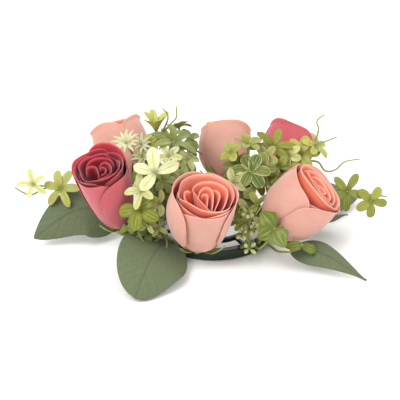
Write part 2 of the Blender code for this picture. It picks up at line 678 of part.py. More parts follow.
def main():
    for obj in list(bpy.data.objects):
        bpy.data.objects.remove(obj)
    crown = bpy.data.objects.new("flower_crown", None)
    bpy.context.scene.collection.objects.link(crown)
    ring_frame(crown)
    for name in ROSES:
        rose_stem(name, crown)
        rose_head(name, crown)
    for name in LEAVES:
        eucalyptus_leaf(name, crown)
    for name in SPRIGS:
        sprig(name, crown)
    # The origin is the middle of the footprint, on the plane that the ring stands on.
    crown.location = -footprint_centre()


main()
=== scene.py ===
"""Looks for the flower crown: fabric roses, eucalyptus leaves and moulded sprigs on a dark green ring.

The ring's middle, on the plane it stands on, is the place that everything is measured from. Lengths are in
millimetres and angles in degrees until a mesh is made. Each rose head rides on its own body and is built in
the frame of its swivel: origin where the head meets its stem, +Z along the head.
"""

import json
import math
import random
from typing import NamedTuple

import bpy
import numpy as np
from mathutils import Matrix, Quaternion, Vector


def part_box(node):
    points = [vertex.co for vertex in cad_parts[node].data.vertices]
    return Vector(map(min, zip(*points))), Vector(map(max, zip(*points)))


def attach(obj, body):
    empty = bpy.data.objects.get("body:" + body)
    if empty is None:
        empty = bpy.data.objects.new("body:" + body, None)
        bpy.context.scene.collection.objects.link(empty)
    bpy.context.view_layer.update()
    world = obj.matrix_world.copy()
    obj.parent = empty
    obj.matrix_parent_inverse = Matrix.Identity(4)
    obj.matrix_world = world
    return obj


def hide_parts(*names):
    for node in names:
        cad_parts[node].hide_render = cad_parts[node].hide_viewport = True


MM = 0.001
UP = Vector((0, 0, 1))

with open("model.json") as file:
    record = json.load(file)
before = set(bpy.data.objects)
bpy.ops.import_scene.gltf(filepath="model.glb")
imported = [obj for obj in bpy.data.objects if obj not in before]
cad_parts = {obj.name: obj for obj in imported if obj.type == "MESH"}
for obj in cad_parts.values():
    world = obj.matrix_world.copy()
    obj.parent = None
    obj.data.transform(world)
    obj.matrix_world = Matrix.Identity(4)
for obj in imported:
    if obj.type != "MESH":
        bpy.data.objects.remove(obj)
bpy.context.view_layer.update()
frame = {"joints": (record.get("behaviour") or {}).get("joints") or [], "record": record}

# ---- where the design's own axes lie ----
ring_low, ring_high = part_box("ring_frame")
RING_MIDDLE = Vector(((ring_low.x + ring_high.x) / 2, (ring_low.y + ring_high.y) / 2, ring_low.z))
SWIVELS = {joint["child"]: (Vector(joint["pos_m"]), Vector(joint["axis"])) for joint in frame["joints"]}

# ---- ring frame ----
RAIL_WIDTH = 5.0
RAIL_RADIUS = (ring_high.x - ring_low.x) / 2 / MM - RAIL_WIDTH / 2
RAIL_HEIGHT = 6.5
RAIL_CORNER = 1.1
INNER_RAIL_RADIUS = 22.0
INNER_RAIL_WIDTH = 3.0
INNER_RAIL_HEIGHT = 3.0
INNER_RAIL_LIFT = 4.0
INNER_RAIL_CORNER = 0.9
RUNG_COUNT = 10
RUNG_WIDTH = 2.4
RUNG_HEIGHT = 2.2
RUNG_CORNER = 0.6           # 1 an oval section, 0 a rectangle
SOCKET_START = 0.55         # the stems' feet stand this far out from the middle of the rail
COLLAR_WALL = 0.9           # moulded lip round the mouth of each socket

# ---- rose heads ----
STEM_RADIUS = 1.5
STEM_COLLAR = 2.2
PIN_RADIUS = 1.4            # the head turns on it
PIN_TIP = 1.2
PIN_LENGTH = 5.0
CUP_FOOT = 4.6              # the petals start this far above the foot of the head
SHEET = 0.35                # thickness of the petal fabric
FRONT_SIDE = Vector((0, -0.883, 0.469))     # towards which the crown is arranged to be seen
# The bloom's outside: share of its widest radius against share of its height.
FULL = [(0.0, 0.20), (0.02, 0.34), (0.06, 0.50), (0.17, 0.70), (0.39, 0.89), (0.62, 0.98),
        (0.85, 0.97), (1.0, 0.92)]
ROUND = [(0.0, 0.16), (0.04, 0.28), (0.11, 0.45), (0.24, 0.72), (0.37, 0.90), (0.63, 1.0),
         (0.83, 0.98), (1.0, 0.90)]
CONE = [(0.0, 0.18), (0.03, 0.31), (0.10, 0.47), (0.22, 0.64), (0.35, 0.76), (0.58, 0.89),
        (0.8, 0.96), (1.0, 1.0)]
RIM_CURL = 2.6              # length of the rim of an outer petal that rolls outwards
FOLD_DEPTH = 17.0           # how far a fold hangs below its rim
FOLD_CENTRE = (0.05, -0.15)  # towards which the folds gather, as a Fold's rim has it
# A calyx is a hip, as (radius, height) pairs, and five sepals.
HIP = [(1.75, 0.0), (2.6, 0.0), (3.0, 0.4), (3.1, 1.0), (3.0, 2.0), (2.6, 3.4), (1.75, 3.4)]
SEPAL_SHEET = 0.6
SEPAL_HALF_WIDTH = 2.7
SEPAL_GAP = 1.35            # between the middle of a sepal and the bloom's outside


class Petal(NamedTuple):
    turn: float             # of its middle, from the side of the head that faces the front
    span: float             # half the angle that it covers
    inset: float            # how far it lies inside the bloom's outside
    drop: float             # of its rim below the bloom's own
    corner: float           # height of its corners as a share of its own
    flare: float            # how far its rim rolls outwards, in degrees
    belly: float = 0.0      # how far it stands out half way up
    slant: float = 0.0      # how much higher its rim is at its left end than at its right


class Fold(NamedTuple):
    rim: list               # (right, back) places across the mouth, as shares of its radius
    drop: float             # of its rim below the bloom's own
    tone: float             # 0 as pale as the outer petals, 1 as dark as the heart, partly dye and partly painted shade


class Rose(NamedTuple):
    azimuth: float          # of its socket and its foot on the ring
    climb: float            # of its stem where it leaves the rail
    heading: float          # that the head leans towards
    radius: float           # of the outer petals, where they are widest
    length: float           # of the bloom, from the petals' foot
    shape: list
    outer: list
    folds: list
    sepals: list            # (turn, length, how far it stands off)
    colour: str


SPIRAL = [
    Fold([(-0.85, 0.05), (-0.78, 0.45), (-0.4, 0.82), (0.15, 0.92), (0.68, 0.62), (0.92, 0.1),
          (0.86, -0.3)], 0.2, 0.45),
    Fold([(-0.84, 0.1), (-0.81, -0.34), (-0.45, -0.58), (0.0, -0.82), (0.41, -0.79), (0.71, -0.61),
          (0.87, -0.3)], 0.3, 0.8),
    Fold([(-0.44, 0.19), (-0.33, 0.42), (-0.06, 0.6), (0.28, 0.62), (0.6, 0.42), (0.7, 0.16), (0.69, -0.14),
          (0.64, -0.46), (0.52, -0.66)], 0.9, 0.75),
    Fold([(-0.46, 0.12), (-0.62, 0.02), (-0.64, -0.14), (-0.6, -0.35), (-0.44, -0.48)], 1.4, 0.9),
    Fold([(-0.4, 0.3), (-0.36, 0.12), (-0.24, -0.08), (-0.18, -0.22), (0.0, -0.44), (0.14, -0.58),
          (0.32, -0.7)], 1.2, 0.9),
    Fold([(0.15, 0.36), (0.33, 0.28), (0.45, 0.02), (0.41, -0.36), (0.33, -0.68)], 1.3, 0.9),
    Fold([(-0.2, -0.12), (-0.14, 0.14), (-0.02, 0.3), (0.11, 0.27), (0.21, 0.07), (0.25, -0.24),
          (0.28, -0.6)], 1.2, 1.0),
    Fold([(-0.1, -0.02), (-0.03, 0.05), (0.05, 0.0), (0.07, -0.26), (0.1, -0.52)], 2.2, 1.0),
]
WHIRL = [
    Fold([(-0.15, 0.9), (-0.6, 0.74), (-0.9, 0.3), (-0.9, -0.25), (-0.6, -0.66), (-0.2, -0.82)], 0.0, 0.7),
    Fold([(0.1, 0.9), (0.6, 0.72), (0.9, 0.25), (0.86, -0.3), (0.52, -0.7), (0.08, -0.82)], 1.0, 0.8),
    Fold([(0.5, 0.6), (0.21, 0.78), (-0.26, 0.78), (-0.53, 0.68), (-0.72, 0.38), (-0.7, 0.02)], 0.7, 0.8),
    Fold([(-0.74, 0.28), (-0.7, -0.12), (-0.56, -0.46), (-0.2, -0.62), (0.2, -0.65), (0.6, -0.47),
          (0.78, -0.02), (0.67, 0.42)], 0.9, 0.9),
    Fold([(-0.52, 0.36), (-0.26, 0.54), (0.1, 0.56), (0.42, 0.4), (0.58, 0.1)], 1.2, 0.9),
    Fold([(-0.52, -0.05), (-0.38, 0.2), (-0.18, 0.14), (-0.11, -0.14), (-0.13, -0.44)], 1.3, 1.0),
    Fold([(-0.02, 0.2), (0.23, 0.25), (0.41, -0.05), (0.36, -0.35), (0.08, -0.54), (-0.2, -0.52)], 1.3, 1.0),
    Fold([(0.0, 0.0), (0.11, 0.06), (0.2, -0.1), (0.12, -0.28), (0.0, -0.22)], 2.0, 1.0),
]
TIGHT = [
    Fold([(-0.9, 0.1), (-0.7, 0.55), (-0.2, 0.85), (0.4, 0.8), (0.85, 0.4), (0.95, -0.1)], -0.8, 0.4),
    Fold([(-0.88, 0.3), (-0.74, -0.36), (-0.35, -0.56), (0.19, -0.62), (0.66, -0.56), (0.93, -0.25),
          (0.96, 0.1)], -1.8, 0.7),
    Fold([(-0.72, 0.35), (-0.3, 0.62), (0.25, 0.62), (0.66, 0.35), (0.8, 0.0)], -0.8, 0.7),
    Fold([(-0.66, 0.3), (-0.45, 0.0), (0.1, -0.3), (0.42, -0.42), (0.66, -0.34), (0.76, -0.1)], -1.4, 0.8),
    Fold([(-0.4, 0.36), (-0.1, 0.42), (0.25, 0.35), (0.5, 0.16), (0.6, -0.1)], -0.8, 0.9),
    Fold([(-0.4, 0.14), (0.0, -0.02), (0.25, -0.14), (0.44, -0.08), (0.5, 0.08)], -0.6, 0.9),
    Fold([(-0.15, 0.22), (0.1, 0.22), (0.3, 0.08), (0.24, -0.02), (0.05, 0.06)], 0.2, 1.0),
]

ROSES = {
    "front": Rose(
        256, 48, 295, 19.2, 39.6, FULL,
        [Petal(8, 64, 1.3, 3.9, 0.80, 20, -0.6, -0.8), Petal(-108, 87, 0.4, 0.2, 0.62, 34, 2.2),
         Petal(127, 86, 0.4, 0.3, 0.58, 45, -1.4)], SPIRAL,
        [(52, 21, 1.2), (124, 15, 0.5), (196, 15, 0.8), (268, 15, 0.5), (-36, 13, 0.5)], "peach"),
    "right": Rose(
        316, 50, 351, 19.5, 43.1, ROUND,
        [Petal(-66, 86, 1.2, 0.2, 0.7, 28), Petal(82, 84, 0.1, 0.3, 0.55, 28),
         Petal(180, 70, 0.5, -0.6, 0.7, 40)], TIGHT,
        [(-42, 17, 0.4), (34, 20, 0.4), (90, 18, 1.2), (156, 15, 0.6), (228, 15, 0.2)], "peach"),
    "left": Rose(
        202, 32, 231, 15.4, 47.1, CONE,
        [Petal(-62, 86, 1.1, 1.2, 0.72, 34, 0.0, 0.6), Petal(66, 86, 0.0, 3.2, 0.55, 30, 1.2),
         Petal(148, 62, -0.2, -3.0, 0.55, 66), Petal(-148, 70, 0.7, -1.2, 0.7, 55)], WHIRL,
        [(20, 15, 0.8), (92, 15, 0.5), (164, 15, 0.5), (236, 15, 0.5), (308, 15, 0.5)], "deep_pink"),
    "back_left": Rose(
        144, 26, 118, 17.5, 38.9, ROUND,
        [Petal(-62, 82, 0.1, 0.0, 0.7, 58), Petal(92, 84, 0.9, -0.6, 0.7, 45),
         Petal(190, 70, 0.3, 1.0, 0.6, 50)], SPIRAL,
        [(20, 13, 0.3), (92, 13, 2.0), (164, 13, 0.3), (236, 13, 0.3), (308, 13, 2.5)], "peach"),
    "back": Rose(
        84, 75, 80, 17.0, 36.4, ROUND,
        [Petal(36, 80, 0.1, -0.4, 0.78, 12), Petal(-92, 80, 1.2, 3.2, 0.6, 20),
         Petal(165, 75, 0.8, 0.8, 0.6, 40)], SPIRAL,
        [(30, 13, 0.3), (102, 13, 0.3), (174, 13, 0.3), (246, 13, 1.0), (-42, 14, 1.5)], "peach"),
    "back_right": Rose(
        41, 40, 58, 17.0, 38.4, FULL,
        [Petal(-40, 84, 0.2, 0.0, 0.7, 50), Petal(100, 84, 0.9, 0.5, 0.6, 55),
         Petal(200, 70, 0.4, 0.0, 0.6, 50)], WHIRL,
        [(0, 13, 0.3), (72, 13, 0.3), (144, 13, 0.3), (216, 13, 0.3), (288, 13, 0.3)], "deep_pink"),
}

# ---- eucalyptus leaves ----
LEAF_SHEET = 0.5
LEAF_STEM_RADIUS = 1.0
LEAF_STEM_TIP = 0.42
LONG_LOBE = 2.0             # above this the stem comes up under the blade, not at its butt


class Leaf(NamedTuple):
    azimuth: float
    climb: float
    half_width: float
    roll: float             # of the blade about its midrib
    line: list              # from the blade's butt to its tip
    widest: float           # where it is widest, as a share of its length
    camber: float           # how far its middle stands above its edges, as a share of its width
    wave: float             # height of the waves along its edges
    lobe: float = 1.5       # how far its two sides reach back beyond the butt
    slimness: float = 0.72  # below 1 its ends are round, above 1 they are drawn out


LEAVES = {
    "front": Leaf(243, 8, 20.0, -26, [(-27.5, -35, 11.0), (-36, -60, 14.0), (-44, -82, 3.5)],
                  0.40, 0.14, 0.8, 6.0, 0.50),
    "left": Leaf(193, 8, 16.0, -44, [(-58, -5, 11.0), (-80, -10, 18.5), (-106, -21, 6.5)], 0.36, 0.25, 0.8),
    "right": Leaf(333, 4, 8.5, 24, [(46, -35, 7.5), (64, -48, 9.5), (86, -63, 3.0)],
                  0.32, 0.30, 0.5, 1.5, 1.15),
    "centre": Leaf(209, 84, 10.0, 60, [(-29, -15, 18), (-25, -16, 32), (-19, -19, 45)], 0.45, 0.2, 0.6),
    "far_right": Leaf(341, 6, 10.0, -25, [(54, -8, 7.0), (67, -5, 9.5), (81, -2, 12.0)], 0.45, 0.2, 0.6),
    "back_right": Leaf(16, 6, 13.5, 20, [(52, 19, 6.0), (70, 27, 9.0), (92, 37, 5.0)], 0.45, 0.2, 0.8),
    "back_left": Leaf(157, 6, 13.5, -20, [(-50, 17, 6.0), (-70, 23, 9.0), (-92, 33, 5.0)], 0.42, 0.2, 0.8),
    "back": Leaf(112, 6, 12.5, 0, [(-17, 44, 5.0), (-27, 62, 6.5), (-36, 82, 4.0)], 0.42, 0.2, 0.8),
}

# ---- moulded sprigs ----
SPRIG_RADIUS = 0.9
SPRIG_TIP = 0.5
LEAFLET_SHEET = 0.55
SHOOT_RADIUS = 0.55         # of the short shoots that carry the whorls
TENDRIL_RADIUS = 0.68
TENDRIL_TIP = 0.42
BLOOM_GAP = 2.2             # kept clear round each head, so that it can turn
# A bud's outline: share of its length from its foot, and of its radius.
BUD = [(0.30, 0.02), (0.36, 0.45), (0.45, 0.8), (0.58, 1.0), (0.74, 0.95), (0.88, 0.7), (0.97, 0.4),
       (1.0, 0.05)]


class Whorl(NamedTuple):
    fork: int               # of the point on the sprig's route where its shoot leaves
    hub: tuple              # its middle
    facing: tuple           # way that the whorl faces
    count: int
    length: float
    width: float
    lift: float             # of the leaflets above the whorl's own plane
    pale: float             # 0 green, 1 cream
    gold: float = 0.3       # 0 cool green, 1 yellow green
    rimmed: float = 0.0     # how much of a cream margin it has
    form: str = "leaflet"
    droop: float = 0.22     # how far the tips bend down, as a share of the length
    turn: float = 0.5       # of its first leaflet from the top, as a share of the angle between two


class Sprig(NamedTuple):
    azimuth: float
    climb: float
    route: list
    whorls: list
    tendrils: list = []     # each a list of points, the first on the sprig


SPRIGS = {
    "pale_front_left": Sprig(
        234, 58, [(-29, -36, 18), (-35, -37, 36), (-35, -36, 50)],
        [Whorl(1, (-42, -46, 40), (-0.3, -0.8, 0.5), 5, 12.5, 7.6, 12, 0.0, 0.65),
         Whorl(2, (-40, -44, 50), (-0.3, -0.65, 0.7), 5, 11.0, 4.2, 22, 0.75, 0.6),
         Whorl(2, (-33, -41, 60), (0.05, -0.85, 0.5), 5, 14.0, 6.4, 8, 1.0, 0.35, 0.0, "leaflet", 0.15, 0.05),
         Whorl(0, (-44, -41, 30), (-0.5, -0.6, 0.5), 5, 9.5, 4.6, 20, 0.0, 0.35),
         Whorl(1, (-31, -42, 41), (0.4, -0.8, 0.5), 5, 8.5, 3.6, 20, 0.55, 0.6),
         Whorl(0, (-37, -42, 23), (-0.1, -0.8, 0.5), 5, 8.5, 4.0, 25, 0.0, 0.2),
         Whorl(2, (-29, -30, 49), (0.4, -0.6, 0.6), 5, 9.0, 4.4, 20, 0.15, 0.4),
         Whorl(2, (-40, -38, 56), (-0.6, -0.5, 0.6), 5, 9.0, 3.4, 20, 0.85, 0.7),
         Whorl(0, (-47, -40, 25), (-0.6, -0.6, 0.4), 4, 6.5, 2.6, 30, 0.1, 0.5),
         Whorl(0, (-32, -45, 27), (0.2, -0.8, 0.5), 4, 6.5, 2.4, 30, 0.3, 0.4),
         Whorl(0, (-38, -48, 31), (0.0, -0.8, 0.5), 4, 7.0, 2.6, 30, 0.4, 0.7)],
        [[(-29, -36, 18), (-34, -43, 17), (-40, -48, 20), (-43, -50, 27)],
         [(-29, -36, 18), (-30, -44, 20), (-33, -49, 26), (-39, -51, 33)],
         [(-29, -36, 18), (-37, -40, 19), (-45, -43, 24), (-49, -43, 30)],
         [(-29, -36, 18), (-27, -42, 15), (-28, -46, 13), (-31, -49, 14)]]),
    "yellow_left": Sprig(
        165, 80, [(-35, 9, 22), (-37, 12, 42), (-34, 12, 55)],
        [Whorl(1, (-43, 17, 44), (-0.6, 0.1, 0.8), 5, 7.5, 4.5, 20, 0.3, 0.6),
         Whorl(2, (-34, 13, 60), (-0.1, 0.1, 0.99), 6, 15.0, 4.8, 50, 0.75, 0.9, 0.0, "leaflet", -0.05),
         Whorl(2, (-29, 9, 56), (0.5, -0.5, 0.7), 5, 8.0, 4.2, 20, 0.3, 0.9),
         Whorl(2, (-38, 8, 54), (-0.4, -0.6, 0.7), 5, 8.0, 4.2, 20, 0.45, 1.0)],
        [[(-34, 12, 55), (-30, 12, 57), (-29, 12, 61), (-25, 12, 66), (-22, 12, 70), (-22, 12, 77)],
         [(-34, 12, 55), (-28, 11, 66), (-27, 11, 72), (-30, 11, 76)]]),
    "green_left": Sprig(
        186, 86, [(-33, -4, 22), (-29, -4, 42), (-27, -3, 54)],
        [Whorl(1, (-31, -10, 45), (-0.2, -0.7, 0.7), 5, 9.0, 4.5, 15, 0.1, 0.4),
         Whorl(1, (-23, -13, 50), (0.2, -0.7, 0.7), 5, 8.5, 4.8, 20, 0.15, 0.2),
         Whorl(2, (-23.5, -4, 61), (0.35, -0.35, 0.85), 6, 14.5, 4.6, 15, 0.1, 0.25),
         Whorl(2, (-26, -14, 57), (-0.1, -0.8, 0.6), 5, 9.0, 3.6, 20, 0.85, 0.5),
         Whorl(1, (-29, -22, 49), (0.0, -0.8, 0.6), 5, 9.0, 4.6, 20, 0.0, 0.25),
         Whorl(1, (-19, -18, 46), (0.4, -0.7, 0.6), 5, 8.5, 4.4, 20, 0.3, 0.3),
         Whorl(2, (-16, -8, 52), (0.5, -0.6, 0.7), 5, 8.5, 3.8, 20, 0.6, 0.5),
         Whorl(1, (-37, -14, 44), (-0.5, -0.6, 0.6), 5, 8.5, 4.4, 20, 0.0, 0.4),
         Whorl(0, (-30, -20, 38), (0.0, -0.8, 0.5), 6, 10.0, 5.0, 20, 0.0, 0.1),
         Whorl(1, (-18, 0, 46), (0.5, -0.4, 0.7), 6, 9.5, 4.6, 20, 0.0, 0.3)],
        [[(-27, -3, 54), (-19, -6, 56), (-13, -8, 55), (-9, -9, 53)]]),
    "wax_flower": Sprig(
        179, 45, [(-43, 0, 20), (-46, 1, 36), (-46, 2, 46)],
        [Whorl(1, (-42, 0, 49), (0.1, -0.6, 0.8), 11, 8.5, 2.0, 38, 1.0, 0.1, 0.0, "petal"),
         Whorl(2, (-51, 2, 57), (-0.2, -0.5, 0.85), 12, 9.5, 2.0, 35, 1.0, 0.1, 0.0, "petal"),
         Whorl(2, (-43, 4, 55), (0.2, -0.5, 0.8), 10, 8.0, 1.9, 40, 1.0, 0.1, 0.0, "petal"),
         Whorl(1, (-38, -2, 43), (0.3, -0.7, 0.6), 5, 7.5, 4.0, 20, 0.2, 0.3)]),
    "variegated_centre": Sprig(
        303, 84, [(19, -25, 20), (18, -21, 35), (19, -19, 47)],
        [Whorl(1, (17, -27, 36), (-0.1, -0.8, 0.6), 5, 9.0, 5.4, 15, 0.1, 0.2, 0.8),
         Whorl(2, (21, -22, 51), (0.0, -0.7, 0.7), 6, 11.5, 6.4, 15, 0.0, 0.1, 1.0),
         Whorl(2, (10, -16, 60), (-0.3, -0.6, 0.75), 4, 8.0, 5.0, 25, 0.3, 0.9),
         Whorl(2, (20, -7, 60), (0.1, -0.1, 0.98), 5, 10.0, 5.0, 30, 0.2, 0.7),
         Whorl(1, (24, -26, 43), (0.3, -0.8, 0.5), 5, 9.5, 5.4, 18, 0.0, 0.35, 0.6),
         Whorl(1, (12, -24, 45), (-0.5, -0.7, 0.5), 5, 9.0, 4.0, 18, 0.6, 0.4, 0.3),
         Whorl(2, (27, -17, 50), (0.4, -0.6, 0.7), 5, 10.0, 5.6, 18, 0.1, 0.4, 0.7),
         Whorl(2, (14, -14, 52), (-0.3, -0.6, 0.7), 5, 10.0, 5.2, 20, 0.0, 0.5, 0.4),
         Whorl(0, (20, -32, 31), (0.0, -0.9, 0.4), 5, 9.0, 3.8, 18, 0.65, 0.4, 0.3),
         Whorl(0, (25, -32, 35), (0.4, -0.8, 0.4), 5, 9.0, 4.4, 18, 0.1, 0.9, 0.2),
         Whorl(0, (13, -24, 27), (-0.4, -0.8, 0.4), 5, 9.5, 5.0, 18, 0.0, 0.2, 0.2),
         Whorl(1, (23, -14, 40), (0.4, -0.6, 0.6), 6, 10.0, 5.0, 18, 0.0, 0.3),
         Whorl(0, (13, -36, 26), (-0.4, -0.8, 0.4), 4, 6.5, 2.4, 30, 0.4, 0.5),
         Whorl(0, (26, -38, 27), (0.4, -0.8, 0.4), 4, 6.5, 2.4, 30, 0.3, 0.4)],
        [[(19, -25, 20), (21, -33, 25), (24, -38, 32), (28, -40, 40)],
         [(19, -25, 20), (15, -34, 24), (13, -37, 31), (16, -38, 38)]]),
    "green_right": Sprig(
        348, 80, [(34, -5, 20), (31, -5, 36), (33, -4, 48)],
        [Whorl(1, (26, -8, 43), (-0.4, -0.6, 0.65), 5, 9.5, 5.0, 20, 0.2, 0.3, 0.5),
         Whorl(2, (35, 0, 56), (0.1, -0.6, 0.8), 6, 14.0, 4.4, 15, 0.05, 0.75),
         Whorl(2, (30, -8, 53), (-0.2, -0.8, 0.6), 5, 9.0, 4.6, 20, 0.35, 0.6, 0.4),
         Whorl(2, (38, -8, 47), (0.3, -0.8, 0.5), 5, 9.0, 4.4, 20, 0.1, 0.7),
         Whorl(1, (33, -12, 41), (0.1, -0.8, 0.5), 5, 9.0, 4.4, 20, 0.2, 0.5)],
        [[(33, -4, 48), (40, -6, 45), (45, -7, 42), (47, -8, 46)]]),
    "yellow_right": Sprig(
        3, 55, [(44, 5, 18), (50, 6, 34), (52, 6, 44)],
        [Whorl(1, (41, -3, 43), (-0.2, -0.7, 0.7), 5, 8.5, 4.8, 20, 0.25, 0.7),
         Whorl(2, (51, 2, 50), (0.1, -0.7, 0.7), 6, 12.5, 5.4, 12, 0.35, 0.95),
         Whorl(2, (60, 7, 52), (0.5, -0.3, 0.8), 5, 10.0, 4.6, 20, 0.55, 1.0),
         Whorl(2, (44, -1, 51), (-0.3, -0.8, 0.5), 5, 8.5, 4.4, 20, 0.8, 0.6)],
        [[(52, 6, 44), (57, 9, 51), (61, 9, 58), (62, 9, 64), (61, 9, 69), (65, 9, 73)],
         [(52, 6, 44), (62, 5, 44), (67, 5, 38), (73, 5, 39), (78, 5, 44), (87, 5, 46)],
         [(52, 6, 44), (60, 7, 55), (66, 8, 56), (73, 8, 59)]]),
    "outer_right": Sprig(
        355, 22, [(52, 3, 11), (64, 2, 23), (76, -1, 29), (88, -4, 27)],
        [Whorl(2, (79, -6, 30), (0.0, -0.9, 0.45), 5, 12.0, 4.8, 12, 0.05, 0.75),
         Whorl(3, (93, -9, 25), (0.2, -0.9, 0.4), 5, 11.0, 5.2, 12, 0.15, 0.85)],
        [[(88, -4, 27), (96, -5, 27), (103, -7, 27)]]),
    "outer_left": Sprig(
        172, 18, [(-52, 4, 12), (-68, 3, 25), (-84, -1, 31), (-98, -4, 32)],
        [Whorl(2, (-90, -6, 32), (-0.2, -0.8, 0.55), 6, 12.0, 4.8, 12, 0.45, 0.9),
         Whorl(3, (-106, -7, 35), (-0.3, -0.7, 0.65), 5, 10.0, 3.6, 18, 1.0, 0.5)],
        [[(-98, -4, 32), (-103, -3, 29), (-109, -3, 26), (-114, -3, 28), (-118, -3, 31)]]),
    "buds_front": Sprig(
        296, 58, [(20, -37, 11), (20, -38, 19), (19, -37, 26)],
        [Whorl(0, (20, -42, 12), (0.1, -0.9, 0.3), 4, 5.5, 2.4, 38, 0.75, 0.2, 0.0, "bud"),
         Whorl(1, (17, -41, 21), (-0.4, -0.8, 0.4), 4, 5.5, 2.6, 40, 0.75, 0.2, 0.0, "bud"),
         Whorl(2, (19, -38, 30), (0.0, -0.3, 0.95), 5, 6.0, 2.8, 45, 0.7, 0.2, 0.0, "bud"),
         Whorl(1, (22, -41, 24), (0.4, -0.8, 0.4), 4, 5.5, 2.4, 40, 0.6, 0.3, 0.0, "bud"),
         Whorl(2, (16, -41, 28), (-0.3, -0.8, 0.5), 4, 6.0, 2.8, 25, 0.05, 0.4)]),
    "rose_leaf_right": Sprig(
        308, 36, [(26, -41, 11), (31, -49, 21)],
        [Whorl(1, (34, -51, 30), (-0.1, -0.85, 0.5), 4, 13.0, 10.5, 8, 0.0, 0.30, 0.0, "broad")]),
    "rose_leaf_under": Sprig(
        324, 4, [(37, -37, 7), (44, -45, 11)],
        [Whorl(1, (50, -48, 17.5), (0.2, -0.85, 0.45), 3, 11.5, 5.5, 8, 0.0, 0.40, 0.0, "broad", 0.2, 0.9)]),
    "green_back": Sprig(
        124, 70, [(-18, 32, 22), (-19, 35, 36)],
        [Whorl(1, (-21, 42, 49), (-0.2, 0.5, 0.85), 6, 10.0, 4.5, 20, 0.3, 0.8),
         Whorl(1, (-15, 31, 46), (0.4, -0.3, 0.85), 5, 9.0, 4.5, 20, 0.1, 0.4),
         Whorl(1, (-26, 33, 44), (-0.7, 0.1, 0.7), 5, 9.0, 4.5, 20, 0.1, 0.6),
         Whorl(0, (-15, 38, 35), (0.3, 0.6, 0.6), 5, 9.0, 4.5, 20, 0.0, 0.4)]),
}

# ---- camera, floor and light ----
CAMERA_ELEVATION = 28.0
CAMERA_DISTANCE = 800.0
CAMERA_LENS = 120.0
CAMERA_SENSOR = 36.0
AIM = Vector((-8, 0, 21))
FLOOR_HALF = 4.0            # metres
FLOOR_DROP = 0.0004         # below the ring, so that the two faces don't share a plane
SKY = 0.85
LAMPS = [("key", (-0.55, -0.65, 0.95), 0.8, 13.0), ("fill", (0.8, -0.45, 0.6), 0.9, 5.0),
         ("back", (0.1, 0.9, 0.8), 0.8, 5.0)]       # name, place in metres, side, watts
LAMPS_AIM = Vector((0, 0, 0.03))

# ---- colours, linear ----
# rim is a painted highlight along the petals' rims, also used for pale blotches; the inner-face, fold and
# heart colours are partly deeper dye and partly painted shade
PEACH = {"face": (0.56, 0.280, 0.215), "base": (0.60, 0.185, 0.170), "rim": (0.74, 0.37, 0.29),
         "lining_dye_and_shade": (0.66, 0.255, 0.200), "fold": (0.74, 0.165, 0.090), "deep": (0.60, 0.060, 0.045)}
DEEP_PINK = {"face": (0.44, 0.075, 0.090), "base": (0.58, 0.14, 0.145), "rim": (0.52, 0.055, 0.085),
             "lining_dye_and_shade": (0.30, 0.012, 0.026), "fold": (0.19, 0.004, 0.012), "deep": (0.085, 0.002, 0.006)}


# ---- small geometry helpers ----
def place(point):
    """From the ring's own millimetres to the frame's metres."""
    return RING_MIDDLE + Vector(point) * MM


def polar(azimuth, radius, height=0.0):
    angle = math.radians(azimuth)
    return Vector((radius * math.cos(angle), radius * math.sin(angle), height))


def across(direction, hint=UP):
    """A unit vector square to direction, as near to hint as it can be."""
    direction = Vector(direction).normalized()
    side = Vector(hint) - direction * direction.dot(Vector(hint))
    if side.length < 1e-3:
        side = Vector((1, 0, 0)) - direction * direction.x
    return side.normalized()


def hermite(t, a, way_a, b, way_b):
    """The smooth cubic from a to b that leaves and arrives along the given ways."""
    return (a * (2 * t**3 - 3 * t**2 + 1) + way_a * (t**3 - 2 * t**2 + t)
            + b * (3 * t**2 - 2 * t**3) + way_b * (t**3 - t**2))


def smooth_route(points, steps, first_way=None):
    """Points on a smooth curve through the given ones, and where the given ones are in it."""
    points = [Vector(p) for p in points]
    ways = []
    for i in range(len(points)):
        before, after = points[max(i - 1, 0)], points[min(i + 1, len(points) - 1)]
        ways.append((after - before).normalized())
    if first_way is not None:
        ways[0] = Vector(first_way).normalized()
    route, kept = [], []
    for i in range(len(points) - 1):
        a, b = points[i], points[i + 1]
        gap = (b - a).length
        kept.append(len(route))
        route += [hermite(k / steps, a, ways[i] * gap, b, ways[i + 1] * gap) for k in range(steps)]
    kept.append(len(route))
    route.append(points[-1])
    return route, kept


def ways_along(route):
    """The direction and a side at each point of a route, carried along without twist."""
    frames, side = [], Vector((0.3, 0.2, 1))
    for i in range(len(route)):
        before, after = route[max(i - 1, 0)], route[min(i + 1, len(route) - 1)]
        way = (after - before).normalized()
        side = across(way, side)
        frames.append((way, side))
    return frames


def eased(value):
    value = np.clip(value, 0.0, 1.0)
    return value * value * (3 - 2 * value)


def hump(value):
    """0 at 0 and at 1, and 1 half way."""
    return np.sin(np.pi * np.clip(value, 0, 1))


def lattice(rows, columns, power=1.0):
    """Grids of s, 0 at the foot and 1 at the tip, and of t, -1 and 1 at the sides."""
    return np.meshgrid(np.linspace(0, 1, rows) ** power, np.linspace(-1, 1, columns), indexing="ij")


def wrapped(radius, phi, height):
    """A grid of places from grids of polar coordinates."""
    return np.stack([radius * np.cos(phi), radius * np.sin(phi), height], axis=-1)


def circle(centre, side, other, radius, sides):
    """Places round a circle in the plane of the unit vectors side and other."""
    angles = [2 * math.pi * i / sides for i in range(sides)]
    return [centre + (side * math.cos(a) + other * math.sin(a)) * radius for a in angles]


def barrel(rings, sides):
    """Faces over a number of rings of points, one after the other, with a lid on each end."""
    faces = []
    for low in range(0, (rings - 1) * sides, sides):
        for i in range(sides):
            j = (i + 1) % sides
            faces.append([low + i, low + j, low + sides + j, low + sides + i])
    last = (rings - 1) * sides
    return faces + [list(range(sides))[::-1], list(range(last, last + sides))]


